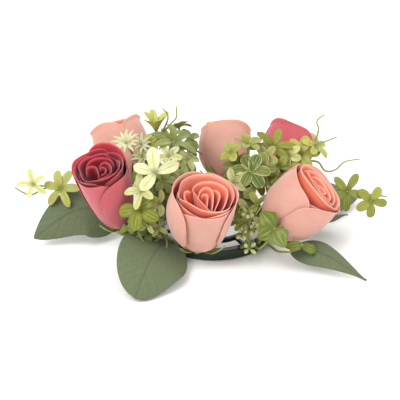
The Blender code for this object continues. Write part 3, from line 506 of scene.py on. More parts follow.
def put(name, data):
    """A new object in the scene."""
    obj = bpy.data.objects.new(name, data)
    bpy.context.scene.collection.objects.link(obj)
    return obj


# ---- meshes that carry what their materials need ----
FIELDS = ("along", "across", "depth", "inside", "layer", "pale", "gold", "rimmed", "edge", "chance")
THIN_EDGE = 0.45            # thickness of a sheet's edges, as a share of its own


class Skin:
    """A mesh gathered from closed shells, with one value of each field at every point."""

    def __init__(self):
        self.points, self.faces, self.cloth = [], [], []
        self.fields = {name: [] for name in FIELDS}

    def add(self, points, faces, cloth=None, **values):
        first, count = sum(len(p) for p in self.points), len(points)
        self.points.append(np.asarray(points, float).reshape(count, 3))
        self.faces += [[first + i for i in face] for face in faces]
        self.cloth.append(np.zeros((count, 3)) if cloth is None else cloth)
        for name in FIELDS:
            self.fields[name].append(np.broadcast_to(values.get(name, 0.0), (count,)).astype(float))

    def sheet(self, grid, thickness, cloth_size, **values):
        """A thin closed shell over a grid of points, rows along and columns across, its outer face to the
        side of columns x rows. Values are numbers or grids. Three edges thin out, as if rounded."""
        rows, columns = grid.shape[:2]
        down, over = np.gradient(grid, axis=0), np.gradient(grid, axis=1)
        normal = np.cross(over, down)
        normal /= np.maximum(np.linalg.norm(normal, axis=2, keepdims=True), 1e-9)
        thick = np.full((rows, columns), thickness / 2)
        for border in (thick[:, 0], thick[:, -1], thick[-1, :]):
            border *= THIN_EDGE
        outer = grid + normal * thick[..., None]
        inner = grid - normal * thick[..., None]
        points = np.concatenate([outer.reshape(-1, 3), inner.reshape(-1, 3)])
        index = np.arange(rows * columns).reshape(rows, columns)
        back = index + rows * columns
        faces = []
        for side in (index, back.T):
            corners = [side[:-1, :-1], side[:-1, 1:], side[1:, 1:], side[1:, :-1]]
            faces += np.stack(corners, axis=-1).reshape(-1, 4).tolist()
        loop = [*index[0, :], *index[1:, -1], *index[-1, -2::-1], *index[-2:0:-1, 0]]
        for i, j in zip(loop, loop[1:] + loop[:1]):
            faces.append([int(j), int(i), int(i) + rows * columns, int(j) + rows * columns])
        along, side = lattice(rows, columns)
        spread = {"along": along, "across": side, **values}
        doubled = {name: np.tile(np.broadcast_to(value, (rows, columns)).reshape(-1), 2)
                   for name, value in spread.items()}
        doubled["inside"] = np.repeat([0.0, 1.0], rows * columns)
        flat = np.stack([along * cloth_size[0], side * cloth_size[1] / 2, np.zeros_like(along)], axis=-1)
        self.add(points, faces, np.tile(flat.reshape(-1, 3), (2, 1)), **doubled)

    def tube(self, route, radii, sides=10, **values):
        """A closed tube along a route, with ends that narrow."""
        frames = ways_along(route)
        foot, tip = route[0] - frames[0][0] * radii[0] * 0.4, route[-1] + frames[-1][0] * radii[-1] * 0.6
        centres = [foot, *route, tip]
        widths = [radii[0] * 0.6, *radii, radii[-1] * 0.55]
        frames = [frames[0], *frames, frames[-1]]
        points = []
        for centre, radius, (way, side) in zip(centres, widths, frames):
            points += circle(centre, side, way.cross(side), radius, sides)
        values.setdefault("along", np.repeat(np.linspace(0, 1, len(centres)), sides))
        self.add(points, barrel(len(centres), sides), **values)

    def lathe(self, section, turned, sides, **values):
        """A closed section of (radius, height) pairs turned about an axis that turned() places."""
        points, faces, count = [], [], len(section)
        for i in range(sides):
            points += [turned(360 * i / sides, r, z) for r, z in section]
        for i in range(sides):
            j = (i + 1) % sides
            for k in range(count):
                n = (k + 1) % count
                faces.append([i * count + k, j * count + k, j * count + n, i * count + n])
        self.add(points, faces, **values)

    def make(self, name, material, smooth_angle):
        mesh = bpy.data.meshes.new(name)
        mesh.from_pydata(np.concatenate(self.points).tolist(), [], self.faces)
        mesh.update()
        for field in FIELDS:
            attribute = mesh.attributes.new(field, "FLOAT", "POINT")
            attribute.data.foreach_set("value", np.concatenate(self.fields[field]).astype(np.float32))
        attribute = mesh.attributes.new("cloth", "FLOAT_VECTOR", "POINT")
        attribute.data.foreach_set("vector", np.concatenate(self.cloth).astype(np.float32).reshape(-1))
        mesh.materials.append(material)
        mesh.shade_smooth()
        mesh.set_sharp_from_angle(angle=math.radians(smooth_angle))
        return put(name, mesh)


def settle(obj, matrix, body, slot, *nodes):
    """Scales a piece from millimetres into place and ties it to the frame."""
    obj.data.transform(matrix @ Matrix.Scale(MM, 4))
    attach(obj, body)
    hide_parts(*nodes)


ON_RING = Matrix.Translation(RING_MIDDLE)


# ---- materials ----
class Shader:
    """A small helper for node materials: each call adds a node and returns its output."""

    def __init__(self, name, roughness=0.5, **inputs):
        self.material = bpy.data.materials.new(name)
        self.material.use_nodes = True
        self.nodes, self.links = self.material.node_tree.nodes, self.material.node_tree.links
        self.principled = self.nodes["Principled BSDF"]
        self.set("Roughness", roughness)
        for key, value in inputs.items():
            self.set(key.replace("_", " "), value)

    def set(self, name, value):
        self.wire(self.principled, {name: value})

    def wire(self, node, values):
        for key, value in values.items():
            socket = node.inputs[key]
            if isinstance(value, bpy.types.NodeSocket):
                self.links.new(value, socket)
            elif socket.type == "RGBA":
                socket.default_value = (*value, 1.0)
            else:
                socket.default_value = value
        return node

    def field(self, name, output="Fac"):
        node = self.nodes.new("ShaderNodeAttribute")
        node.attribute_name = name
        return node.outputs[output]

    def here(self):
        return self.nodes.new("ShaderNodeTexCoord").outputs["Object"]

    def math(self, operation, a, b=0.0, c=0.0):
        node = self.nodes.new("ShaderNodeMath")
        node.operation = operation
        return self.wire(node, {0: a, 1: b, 2: c}).outputs[0]

    def times(self, a, b):
        return self.math("MULTIPLY", a, b)

    def step(self, value, low, high):
        """0 below low, 1 above high, smooth between."""
        node = self.nodes.new("ShaderNodeMapRange")
        node.interpolation_type = "SMOOTHSTEP"
        return self.wire(node, {"Value": value, "From Min": low, "From Max": high}).outputs["Result"]

    def mix(self, share, a, b):
        node = self.nodes.new("ShaderNodeMix")
        node.data_type = "RGBA"
        return self.wire(node, {0: share, 6: a, 7: b}).outputs[2]

    def over(self, below, colour, mask, strength):
        """Colour laid over what is below where the mask is 1, as densely as the strength."""
        return self.mix(self.times(mask, strength), below, colour)

    def noise(self, vector, scale, detail=3.0, roughness=0.55):
        node = self.nodes.new("ShaderNodeTexNoise")
        return self.wire(node, {"Vector": vector, "Scale": scale, "Detail": detail,
                                "Roughness": roughness}).outputs["Fac"]

    def cells(self, vector, scale):
        """Distance to the nearest border between cells."""
        node = self.nodes.new("ShaderNodeTexVoronoi")
        node.feature = "DISTANCE_TO_EDGE"
        return self.wire(node, {"Vector": vector, "Scale": scale}).outputs["Distance"]

    def parts(self, vector):
        node = self.nodes.new("ShaderNodeSeparateXYZ")
        self.links.new(vector, node.inputs[0])
        return node.outputs

    def bump(self, height, strength, distance, **normal):
        node = self.nodes.new("ShaderNodeBump")
        values = {"Height": height, "Strength": strength, "Distance": distance, **normal}
        return self.wire(node, values).outputs["Normal"]

    def weave(self, thread):
        """Height of a plain weave with threads this many millimetres apart, from the cloth's own lengths."""
        x, y, _ = self.parts(self.field("cloth", "Vector"))
        warp, weft = (self.math("SINE", self.times(run, math.pi / thread)) for run in (x, y))
        return self.times(warp, weft)


def petal_fabric(name, colours):
    """Fabric petals: paler outside, with a painted highlight along the rims, and saturated and darker where
    they fold into the heart, partly deeper dye and partly painted shade.
    """
    s = Shader(name, 0.78, Sheen_Weight=0.25, Sheen_Roughness=0.5, Specular_IOR_Level=0.25,
               Subsurface_Weight=0.3, Subsurface_Radius=(0.004, 0.0015, 0.001), Subsurface_Scale=1.0)
    along, depth, inside = s.field("along"), s.field("depth"), s.field("inside")
    layer, chance = s.field("layer"), s.field("chance")
    blotch = s.noise(s.here(), 70.0, 2.0)
    face = s.mix(s.step(along, 0.30, 0.0), colours["face"], colours["base"])
    face = s.over(face, colours["rim"], s.step(blotch, 0.35, 0.7), 0.35)
    face = s.over(face, colours["base"], chance, 0.25)
    # Depth is the distance below the rim: the inner faces and the folds darken with it, partly deeper dye and
    # partly painted shade.
    lining_dye_and_shade = s.mix(s.step(depth, 1.0, 7.0), colours["lining_dye_and_shade"], colours["fold"])
    face = s.over(face, lining_dye_and_shade, inside, s.step(depth, 0.0, 1.2))
    fold = s.mix(s.step(depth, 3.0, 11.0), colours["fold"], colours["deep"])
    # a painted highlight along the rim of each fold
    fold = s.mix(s.step(depth, 0.15, 1.9), colours["rim"], fold)
    # the inner layers take the darker fold colours: painted shade where they lie hidden under the outer
    # petals, partly deeper dye
    colour = s.mix(s.math("MINIMUM", s.times(layer, 1.3), 1.0), face, fold)
    # a painted highlight along the last 0.7 mm of every rim
    colour = s.mix(s.step(depth, 0.7, 0.1), colour, colours["rim"])
    s.set("Base Color", colour)
    s.set("Roughness", s.math("MULTIPLY_ADD", blotch, 0.2, 0.66))
    soft = s.bump(s.noise(s.here(), 160.0, 2.0), 0.25, 0.0006)
    s.set("Normal", s.bump(s.weave(0.34), 0.35, 0.00006, Normal=soft))
    return s.material


def eucalyptus_fabric():
    """Grey green printed fabric with a dark midrib, side veins and a mesh of fine veins."""
    s = Shader("eucalyptus_fabric", 0.72, Sheen_Weight=0.04, Specular_IOR_Level=0.22)
    x, y, _ = s.parts(s.field("cloth", "Vector"))
    side = s.math("ABSOLUTE", y)
    midrib = s.step(side, 0.80, 0.20)
    slant = s.math("SUBTRACT", x, s.times(side, 0.75))
    wobble = s.times(s.noise(s.here(), 150.0, 2.0), 2.4)
    comb = s.math("ABSOLUTE", s.math("SINE", s.times(s.math("ADD", slant, wobble), math.pi / 5.5)))
    veins = s.step(comb, 0.22, 0.02)
    mesh = s.step(s.cells(s.here(), 480.0), 0.20, 0.02)
    grain = s.noise(s.here(), 700.0, 3.0, 0.7)
    patches = s.noise(s.here(), 60.0, 3.0)
    colour = s.mix(s.step(patches, 0.35, 0.68), (0.060, 0.086, 0.020), (0.074, 0.094, 0.034))
    colour = s.over(colour, (0.086, 0.108, 0.018), s.step(s.field("along"), 0.45, 1.0), 0.45)
    colour = s.over(colour, (0.026, 0.042, 0.018), mesh, 0.50)
    colour = s.over(colour, (0.024, 0.040, 0.016), veins, 0.50)
    colour = s.over(colour, (0.130, 0.148, 0.060), s.step(grain, 0.42, 0.72), 0.35)
    colour = s.over(colour, (0.026, 0.040, 0.016), midrib, 0.85)
    colour = s.mix(s.step(s.field("edge"), 0.7, 0.1), colour, (0.055, 0.075, 0.042))
    colour = s.over(colour, (0.15, 0.18, 0.11), s.field("inside"), 0.5)
    s.set("Base Color", colour)
    s.set("Roughness", s.math("MULTIPLY_ADD", patches, 0.25, 0.58))
    relief = s.bump(s.math("ADD", midrib, s.times(veins, 0.5)), 0.6, -0.0004)
    relief = s.bump(mesh, 0.3, -0.0001, Normal=relief)
    s.set("Normal", s.bump(s.weave(0.4), 0.35, 0.00007, Normal=relief))
    return s.material


def leaflet_plastic():
    """Moulded leaflets airbrushed from olive or yellow green to cream, with pale edges and a soft gloss."""
    s = Shader("leaflet_plastic", 0.42, Specular_IOR_Level=0.3, Subsurface_Weight=0.12,
                Subsurface_Radius=(0.002, 0.003, 0.0008), Subsurface_Scale=1.0)
    along, side, pale, gold = (s.field(n) for n in ("along", "across", "pale", "gold"))
    mottle = s.noise(s.here(), 260.0, 3.0, 0.6)
    cloud = s.noise(s.here(), 75.0, 2.0)
    green = s.mix(gold, (0.052, 0.088, 0.016), (0.190, 0.190, 0.005))
    green = s.over(green, (0.105, 0.140, 0.016), s.step(cloud, 0.35, 0.7), 0.5)
    cream = s.mix(gold, (0.60, 0.60, 0.40), (0.54, 0.50, 0.15))
    cream = s.over(cream, (0.38, 0.42, 0.11), s.step(mottle, 0.40, 0.62), 0.35)
    body = s.mix(pale, green, cream)
    # Each leaflet is darker towards the heart of its whorl and lighter towards its end.
    body = s.over(body, (0.070, 0.110, 0.010), s.step(along, 0.34, 0.0), 0.6)
    margin = s.times(s.step(s.field("edge"), 0.75, 0.2), s.times(s.field("rimmed"), 0.7))
    colour = s.over(body, (0.54, 0.52, 0.24), margin, s.step(mottle, 0.30, 0.5))
    streaks = s.times(s.noise(s.field("cloth", "Vector"), 1.6, 2.0), 3.0)
    stripe = s.step(s.math("SINE", s.math("MULTIPLY_ADD", side, 11.0, streaks)), 0.55, 1.0)
    colour = s.over(colour, (0.42, 0.44, 0.12), stripe, s.times(s.step(along, 0.15, 0.5), 0.30))
    rib = s.times(s.step(s.math("ABSOLUTE", side), 0.16, 0.02), s.step(along, 0.95, 0.7))
    colour = s.over(colour, (0.24, 0.28, 0.05), rib, 0.35)
    # Only the petals of the wax flower have a layer: it is the blush at their tips.
    colour = s.over(colour, (0.62, 0.44, 0.36), s.field("layer"), 0.8)
    s.set("Base Color", colour)
    s.set("Roughness", s.math("MULTIPLY_ADD", mottle, 0.22, 0.30))
    relief = s.bump(rib, 0.7, -0.00025)
    s.set("Normal", s.bump(s.noise(s.here(), 1400.0, 2.0), 0.2, 0.0001, Normal=relief))
    return s.material


def moulded_plastic(name, dark, light, roughness):
    """Plain moulded plastic with faint flow marks and a fine surface grain."""
    s = Shader(name, roughness, Specular_IOR_Level=0.35)
    flow = s.noise(s.here(), 90.0, 3.0)
    s.set("Base Color", s.mix(s.step(flow, 0.3, 0.72), dark, light))
    s.set("Roughness", s.math("MULTIPLY_ADD", flow, 0.25, roughness - 0.12))
    s.set("Normal", s.bump(s.noise(s.here(), 1100.0, 2.0), 0.18, 0.0001))
    return s.material


def calyx_plastic():
    """Bright green moulded sepals, browner towards their tips."""
    s = Shader("calyx_plastic", 0.42, Specular_IOR_Level=0.45)
    cloud = s.noise(s.here(), 120.0, 3.0)
    colour = s.mix(s.step(cloud, 0.3, 0.7), (0.17, 0.25, 0.035), (0.30, 0.37, 0.060))
    colour = s.over(colour, (0.32, 0.20, 0.055), s.step(s.field("along"), 0.72, 1.0), 0.6)
    s.set("Base Color", colour)
    s.set("Roughness", s.math("MULTIPLY_ADD", cloud, 0.2, 0.32))
    s.set("Normal", s.bump(s.noise(s.here(), 700.0, 3.0), 0.25, 0.0002))
    return s.material


FABRICS = {name: petal_fabric(f"{name}_fabric", colours)
           for name, colours in (("peach", PEACH), ("deep_pink", DEEP_PINK))}
LEAF_FABRIC = eucalyptus_fabric()
LEAFLETS = leaflet_plastic()
RING_PLASTIC = moulded_plastic("ring_plastic", (0.005, 0.015, 0.007), (0.009, 0.024, 0.011), 0.42)
STEM_PLASTIC = moulded_plastic("stem_plastic", (0.10, 0.16, 0.030), (0.19, 0.26, 0.060), 0.45)
CALYX_PLASTIC = calyx_plastic()


# ---- ring frame ----
def rounded_section(radius, width, height, lift, corner):
    """A rectangle with rounded corners, as (radius, height) pairs, anticlockwise."""
    section = []
    near, far = radius - width / 2 + corner, radius + width / 2 - corner
    low, high = lift + corner, lift + height - corner
    for r, z, start in ((far, low, -90), (far, high, 0), (near, high, 90), (near, low, 180)):
        for k in range(5):
            angle = math.radians(start + 90 * k / 4)
            section.append((r + corner * math.cos(angle), z + corner * math.sin(angle)))
    return section


def rail_middle(azimuth):
    return polar(azimuth, RAIL_RADIUS, RAIL_HEIGHT / 2)


def socket_way(azimuth, climb):
    lift = math.radians(climb)
    return polar(azimuth, math.cos(lift)) + Vector((0, 0, math.sin(lift)))


def socket_mouth(azimuth, climb):
    """Where the middle of a stem comes out of the rail."""
    way = socket_way(azimuth, climb)
    sideways = RAIL_WIDTH / 2 / max(way.to_2d().length, 1e-6)
    upwards = RAIL_HEIGHT / 2 / max(way.z, 1e-6)
    return rail_middle(azimuth) + way * min(sideways, upwards)


def ring_frame():
    skin = Skin()
    skin.lathe(rounded_section(RAIL_RADIUS, RAIL_WIDTH, RAIL_HEIGHT, 0.0, RAIL_CORNER), polar, 160)
    skin.lathe(rounded_section(INNER_RAIL_RADIUS, INNER_RAIL_WIDTH, INNER_RAIL_HEIGHT, INNER_RAIL_LIFT,
                               INNER_RAIL_CORNER), polar, 128)
    for i in range(RUNG_COUNT):
        azimuth = 360 * (i + 0.5) / RUNG_COUNT
        inside = polar(azimuth, INNER_RAIL_RADIUS + 0.4, INNER_RAIL_LIFT + INNER_RAIL_HEIGHT / 2)
        outside = polar(azimuth, RAIL_RADIUS - RAIL_WIDTH / 2 + 1.2, RAIL_HEIGHT * 0.55)
        side = polar(azimuth + 90, 1)
        rise = across(outside - inside, UP)
        points, shares, sides = [], (0.0, 0.12, 0.3, 0.7, 0.88, 1.0), 16
        for share in shares:
            swell = 1 + 0.35 * (abs(share - 0.5) * 2) ** 4       # thicker where it joins the rails
            for n in range(sides):
                angle = 2 * math.pi * n / sides
                c, s = (math.copysign(abs(v) ** RUNG_CORNER, v) for v in (math.cos(angle), math.sin(angle)))
                points.append(inside.lerp(outside, share) + side * (c * RUNG_WIDTH / 2 * swell)
                              + rise * (s * RUNG_HEIGHT / 2 * swell))
        skin.add(points, [[face[0], *face[:0:-1]] for face in barrel(len(shares), sides)])
    feet = [(r.azimuth, r.climb, STEM_RADIUS) for r in ROSES.values()]
    feet += [(leaf.azimuth, leaf.climb, LEAF_STEM_RADIUS) for leaf in LEAVES.values()]
    feet += [(sprig.azimuth, sprig.climb, SPRIG_RADIUS) for sprig in SPRIGS.values()]
    for azimuth, climb, radius in feet:
        way, mouth = socket_way(azimuth, climb), socket_mouth(azimuth, climb)
        side = across(way)
        other = way.cross(side)
        lip = [(radius + 0.2 + COLLAR_WALL / 2 + COLLAR_WALL / 2 * math.cos(a), 0.1 + 0.55 * math.sin(a))
               for a in (2 * math.pi * k / 10 for k in range(10))]

        def turned(angle, r, z):
            a = math.radians(angle)
            return mouth + (side * math.cos(a) + other * math.sin(a)) * r + way * z

        skin.lathe(lip, turned, 20)
    ring = skin.make("ring_moulding", RING_PLASTIC, 40)
    settle(ring, ON_RING, "wreath", "ring_green", "ring_frame")


# ---- stems ----
def stem_route(azimuth, climb, points, steps=8):
    way = socket_way(azimuth, climb)
    foot = rail_middle(azimuth) + way * SOCKET_START
    mouth = foot + way * (max(RAIL_HEIGHT, RAIL_WIDTH) / 2)
    route, kept = smooth_route([mouth, *points], steps, way)
    return [foot, *route], [k + 1 for k in kept]


def tapered(start, end, count):
    return [start + (end - start) * i / (count - 1) for i in range(count)]


def rose_stem(name):
    rose = ROSES[name]
    spot, axis = SWIVELS[f"rose_head_{name}"]
    foot = (spot - RING_MIDDLE) / MM
    shoulder = foot - axis * 0.35
    route, _ = stem_route(rose.azimuth, rose.climb, [shoulder - axis * 1.4])
    radii = [STEM_RADIUS] * len(route)
    for back, radius in ((0.9, STEM_RADIUS), (0.7, STEM_COLLAR), (0.0, STEM_COLLAR),
                         (-0.05, PIN_RADIUS), (-PIN_LENGTH, PIN_TIP)):
        route.append(shoulder - axis * back)
        radii.append(radius)
    skin = Skin()
    skin.tube(route, radii, 14)
    piece = skin.make(f"{name}_rose_stem", STEM_PLASTIC, 40)
    settle(piece, ON_RING, "wreath", "stem_green", f"rose_{name}_stem")


# ---- rose heads ----
def head_matrix(name):
    spot, axis = SWIVELS[f"rose_head_{name}"]
    side = across(axis, polar(ROSES[name].heading, 1))
    return Matrix.Translation(spot) @ Matrix((side, axis.cross(side), axis)).transposed().to_4x4()


def bloom_radius(rose, height):
    """Radius of the bloom's outside at a height above the petals' foot, in millimetres."""
    spots = np.array([z for z, _ in rose.shape]) * rose.length
    radii = np.array([r for _, r in rose.shape]) * rose.radius
    ways = np.gradient(radii, spots)
    height = np.clip(height, 0, rose.length)
    k = np.clip(np.searchsorted(spots, height) - 1, 0, len(spots) - 2)
    gap = spots[k + 1] - spots[k]
    return hermite((height - spots[k]) / gap, radii[k], ways[k] * gap, radii[k + 1], ways[k + 1] * gap)


def front_turn(name):
    """Azimuth about the head's axis of its side that faces the front, in degrees."""
    facing = head_matrix(name).to_3x3().transposed() @ FRONT_SIDE
    return math.degrees(math.atan2(facing.y, facing.x))


def petal(skin, rose, front, layout, chance, rows=26, columns=40, tone=0.0):
    """One outer petal wrapped round the head, its rim rolled outwards."""
    s, t = lattice(rows, columns, 0.8)
    ridge = layout.corner + (1 - layout.corner) * (1 - np.abs(t) ** 4.5) ** (1 / 2.2)
    reach = (rose.length - layout.drop - layout.slant * t) * ridge
    start = np.maximum(reach - RIM_CURL, reach * 0.5)    # where the rim begins to roll
    run = s * reach
    up = np.minimum(run, start)
    length = np.maximum(reach - start, 1e-6)
    bend = np.radians(layout.flare) * (1 - 0.75 * t**2)
    angle = bend * np.maximum(run - start, 0) / length
    outwards = length / bend * (1 - np.cos(angle))
    upwards = length / bend * np.sin(angle)
    settled = eased(up / (rose.length * 0.4))
    radius = bloom_radius(rose, up) - layout.inset * (0.3 + 0.7 * settled)
    radius = radius + layout.belly * hump(up / rose.length) ** 1.5 * (1 - 0.5 * t**2)
    proud = 0.45 * np.abs(t) ** 6 * settled              # its free edges stand off a little
    radius = radius + proud + outwards
    phi = np.radians(front + layout.turn) + np.radians(layout.span) * t * (0.80 + 0.20 * settled)
    wobble = 0.25 * np.sin(3.0 * phi + 7 * chance) * eased(run / rose.length)
    dimple = 0.7 * np.sin(4.0 * phi + 17 * chance) * eased((run - start) / length)
    radius = np.maximum(radius + wobble, 1.8)
    width = 2 * np.radians(layout.span) * rose.radius
    skin.sheet(wrapped(radius, phi, CUP_FOOT + up + upwards + dimple), SHEET, (rose.length, width),
               along=run / rose.length, depth=reach - run, layer=tone, chance=chance)


def fold(skin, rose, front, layout, chance):
    """One petal of the heart: a curtain that hangs from a curved rim and gathers towards the head's axis."""
    rows, columns = 16, 44
    mouth = rose.shape[-1][1] * rose.radius - 0.8
    points = [Vector((x, y, 0)) * mouth for x, y in layout.rim]
    curve, _ = smooth_route(points, 12)
    spots = np.array([(p.x, p.y) for p in curve])
    steps = np.concatenate([[0], np.cumsum(np.linalg.norm(np.diff(spots, axis=0), axis=1))])
    even = np.linspace(0, steps[-1], columns)
    rim = np.stack([np.interp(even, steps, spots[:, k]) for k in (0, 1)], axis=-1)
    way = np.gradient(rim, axis=0)
    way /= np.maximum(np.linalg.norm(way, axis=1, keepdims=True), 1e-9)
    out = np.stack([way[:, 1], -way[:, 0]], axis=-1)
    centre = np.array(FOLD_CENTRE) * mouth
    if np.sum(out * (rim - centre)) < 0:
        out = -out
    s, t = lattice(rows, columns, 0.7)
    below = (1 - s) * FOLD_DEPTH
    gather = 1 - 0.42 * (below / FOLD_DEPTH) ** 1.3
    tip = 0.9 * eased(1 - below / 2.2) * (1 - 0.6 * t**4)             # its rim leans outwards
    swell = 0.5 * hump(below / 9.0)
    plan = centre + (rim - centre) * gather[..., None] + out * (tip + swell)[..., None]
    dive = (2.6 * np.abs(t) ** 5 + 0.35 * np.sin(3.5 * t + 9 * chance)) * (0.3 + 0.7 * s)
    height = rose.length - layout.drop - below - dive
    turn = np.radians(front)
    toward = np.array([np.cos(turn), np.sin(turn)])
    right = np.array([-np.sin(turn), np.cos(turn)])
    flat = plan[..., :1] * right - plan[..., 1:] * toward
    grid = np.concatenate([flat, (CUP_FOOT + height)[..., None]], axis=-1)
    if np.sum(np.cross(np.append(way[columns // 2], 0), [0, 0, 1])[:2] * out[columns // 2]) < 0:
        grid = grid[:, ::-1]
    skin.sheet(grid, SHEET, (FOLD_DEPTH, steps[-1]), along=height / rose.length, depth=below,
               layer=layout.tone, chance=chance)


def rose_head(name):
    rose = ROSES[name]
    body, matrix, fabric = f"rose_head_{name}", head_matrix(name), FABRICS[rose.colour]
    front = front_turn(name)
    draw = random.Random(name)
    outer, middle, heart = Skin(), Skin(), Skin()
    for layout in rose.outer:
        petal(outer, rose, front, layout, draw.random())
    for number, layout in enumerate(rose.folds):
        fold(middle if number < 3 else heart, rose, front, layout, draw.random())
    for k in range(3):      # behind the open folds, so that no gap shows between them
        # their tone gives them the heart's darker colours, partly dye and partly painted shade
        backing = Petal(60 + 120 * k, 74, 2.2 + 0.5 * k, 3.5, 0.8, 8)
        petal(middle, rose, front, backing, draw.random(), 16, 24, 0.85)
    for skin, layer, node in ((outer, "outer", "outer_petals"), (middle, "middle", "middle_petals"),
                              (heart, "heart", "heart")):
        piece = skin.make(f"{name}_rose_{layer}_petals", fabric, 80)
        settle(piece, matrix, body, f"{rose.colour}_fabric", f"rose_{name}_{node}")
    calyx(name, matrix, body, front)


def calyx(name, matrix, body, front):
    """A hip with five curved sepals that hug the petals and stand off towards their tips."""
    rose = ROSES[name]
    skin = Skin()
    skin.lathe(HIP, polar, 40, along=0.3)
    spots = np.linspace(0, rose.length * 0.7, 200)
    radii = bloom_radius(rose, spots) + SEPAL_GAP
    arc = np.concatenate([[0], np.cumsum(np.hypot(np.diff(spots), np.diff(radii)))])
    for turn, length, off in rose.sepals:
        s, t = lattice(18, 9)
        half = SEPAL_HALF_WIDTH * hump(0.2 + 0.8 * s) ** 0.8 * (1 - 0.3 * s) + 0.15
        run = s * length
        reach = np.interp(run, arc, radii) + off * s**1.8
        reach = np.where(run < 1.2, 2.7 + (reach - 2.7) * run / 1.2, reach)
        height = np.interp(run, arc, spots) + CUP_FOOT - 0.9 - off * 0.55 * s**2
        phi = math.radians(front + turn) + t * half / np.maximum(reach, 3.0)
        skin.sheet(wrapped(reach, phi, height + 0.3 * t**2), SEPAL_SHEET, (length, 6.0))
    piece = skin.make(f"{name}_rose_calyx", CALYX_PLASTIC, 60)
    settle(piece, matrix, body, "stem_green", f"rose_{name}_calyx")


# ---- eucalyptus leaves ----
def eucalyptus_leaf(name):
    leaf = LEAVES[name]
    butt = Vector(leaf.line[0])
    heading = (Vector(leaf.line[1]) - butt).normalized()
    if leaf.lobe > LONG_LOBE:
        points = [butt + heading * 9 - UP * 1.92, butt + heading * 18 - UP * 1.2]
    else:
        points = [butt - heading * 3, butt + heading * 6]
    route, _ = stem_route(leaf.azimuth, leaf.climb, points)
    skin = Skin()
    skin.tube(route, tapered(LEAF_STEM_RADIUS, LEAF_STEM_TIP, len(route)), 12)
    piece = skin.make(f"{name}_eucalyptus_stem", STEM_PLASTIC, 60)
    settle(piece, ON_RING, "wreath", "stem_green", f"eucalyptus_{name}_stem")

    middle, _ = smooth_route(leaf.line, 24, heading)
    frames = ways_along(middle)
    rows, columns = len(middle), 33
    length = sum((b - a).length for a, b in zip(middle, middle[1:]))
    grid, edge = np.zeros((rows, columns, 3)), np.zeros((rows, columns))
    draw = random.Random(name + "leaf")
    phase = draw.uniform(0, 6)
    for i, (centre, (way, _)) in enumerate(zip(middle, frames)):
        s = i / (rows - 1)
        level = way.cross(UP).normalized()
        lateral = Quaternion(way, math.radians(leaf.roll)) @ level
        normal = lateral.cross(way)
        bow = s ** (math.log(0.5) / math.log(leaf.widest))
        half = leaf.half_width * max(math.sin(math.pi * bow), 0.0) ** leaf.slimness + 0.5 * (1 - s)
        half = max(half, 0.6)
        for j in range(columns):
            t = -1 + 2 * j / (columns - 1)
            crown = leaf.camber * half * (1 - t * t)
            groove = -0.35 * math.exp(-((t * half) / 0.8) ** 2)
            ripple = leaf.wave * t * t * math.sin(9.0 * s + phase + (1.3 if t > 0 else 0))
            back = way * (-leaf.lobe * t * t * (1 - s) ** 5)
            grid[i, j] = centre + back + lateral * (half * t) + normal * (crown + groove + ripple)
            edge[i, j] = min(half * (1 - abs(t)), length * (1 - s))
    blade = Skin()
    blade.sheet(grid[:, ::-1], LEAF_SHEET, (length, leaf.half_width * 2), edge=edge[:, ::-1])
    piece = blade.make(f"{name}_eucalyptus_leaf", LEAF_FABRIC, 70)
    settle(piece, ON_RING, "wreath", "eucalyptus_fabric", f"eucalyptus_{name}_blade")


# ---- moulded sprigs ----
def clear_of_blooms(points):
    """Whether points, in the ring's own millimetres, stay outside every head however it is turned."""
    for name, rose in ROSES.items():
        spot, axis = SWIVELS[f"rose_head_{name}"]
        away = np.asarray(points, float) - np.array((spot - RING_MIDDLE) / MM)
        up = away @ np.array(axis)
        off = np.linalg.norm(away - up[:, None] * np.array(axis), axis=1)
        up = up - CUP_FOOT
        if np.any((off < bloom_radius(rose, up) + BLOOM_GAP) & (up > -4) & (up < rose.length + 2)):
            return False
    return True


def plain(pale, gold, along=0.5):
    """Fields of a stem or a bud, that has no margin of its own."""
    return {"pale": pale, "gold": gold, "along": along, "edge": 2.0}


def leaflet(skin, base, along, normal, whorl, draw):
    """One moulded leaflet: a narrow foot, a rounded blade that droops, and a dished section."""
    lateral = normal.cross(along)
    length = whorl.length * draw.uniform(0.88, 1.06)
    width = whorl.width * draw.uniform(0.9, 1.08)
    lean = draw.uniform(-0.10, 0.10)
    s, t = lattice(15, 9)
    if whorl.form == "petal":
        half = width / 2 * hump(0.12 + 0.86 * s) ** 0.7
    elif whorl.form == "broad":
        half = width / 2 * hump(s**0.85) ** 0.75 * (1 + 0.10 * np.sin(14 * s)) + 0.4 * (1 - s)
    else:
        half = width / 2 * np.sqrt(np.maximum(1 - (2 * s**1.75 - 1) ** 2, 0)) + 0.55 * (1 - s)
    half = np.maximum(half, 0.12)
    fall = -whorl.droop * length * s**2 + 0.10 * length * hump(s)
    dish = 0.16 * width * t**2 * hump(s) + draw.uniform(-0.2, 0.2) * t * half
    forward = length * s * (1 - 0.12 * abs(whorl.droop))
    sideways = half * t + lean * length * s**2
    grid = np.array(base)
    for run, way in ((forward, along), (sideways, lateral), (fall + dish, normal)):
        grid = grid + run[..., None] * np.array(way)
    edge = np.minimum(half * (1 - np.abs(t)), length * (1 - s) * 0.8)
    if not clear_of_blooms(grid.reshape(-1, 3)):
        return
    pale = whorl.pale + draw.uniform(-0.08, 0.08)
    gold = min(1.0, max(0.0, whorl.gold + draw.uniform(-0.2, 0.2)))
    blush = 0.5 * eased((s - 0.6) / 0.4) if whorl.form == "petal" else 0.0
    skin.sheet(grid, LEAFLET_SHEET, (length, width), edge=edge, layer=blush, pale=pale, gold=gold,
               rimmed=whorl.rimmed)


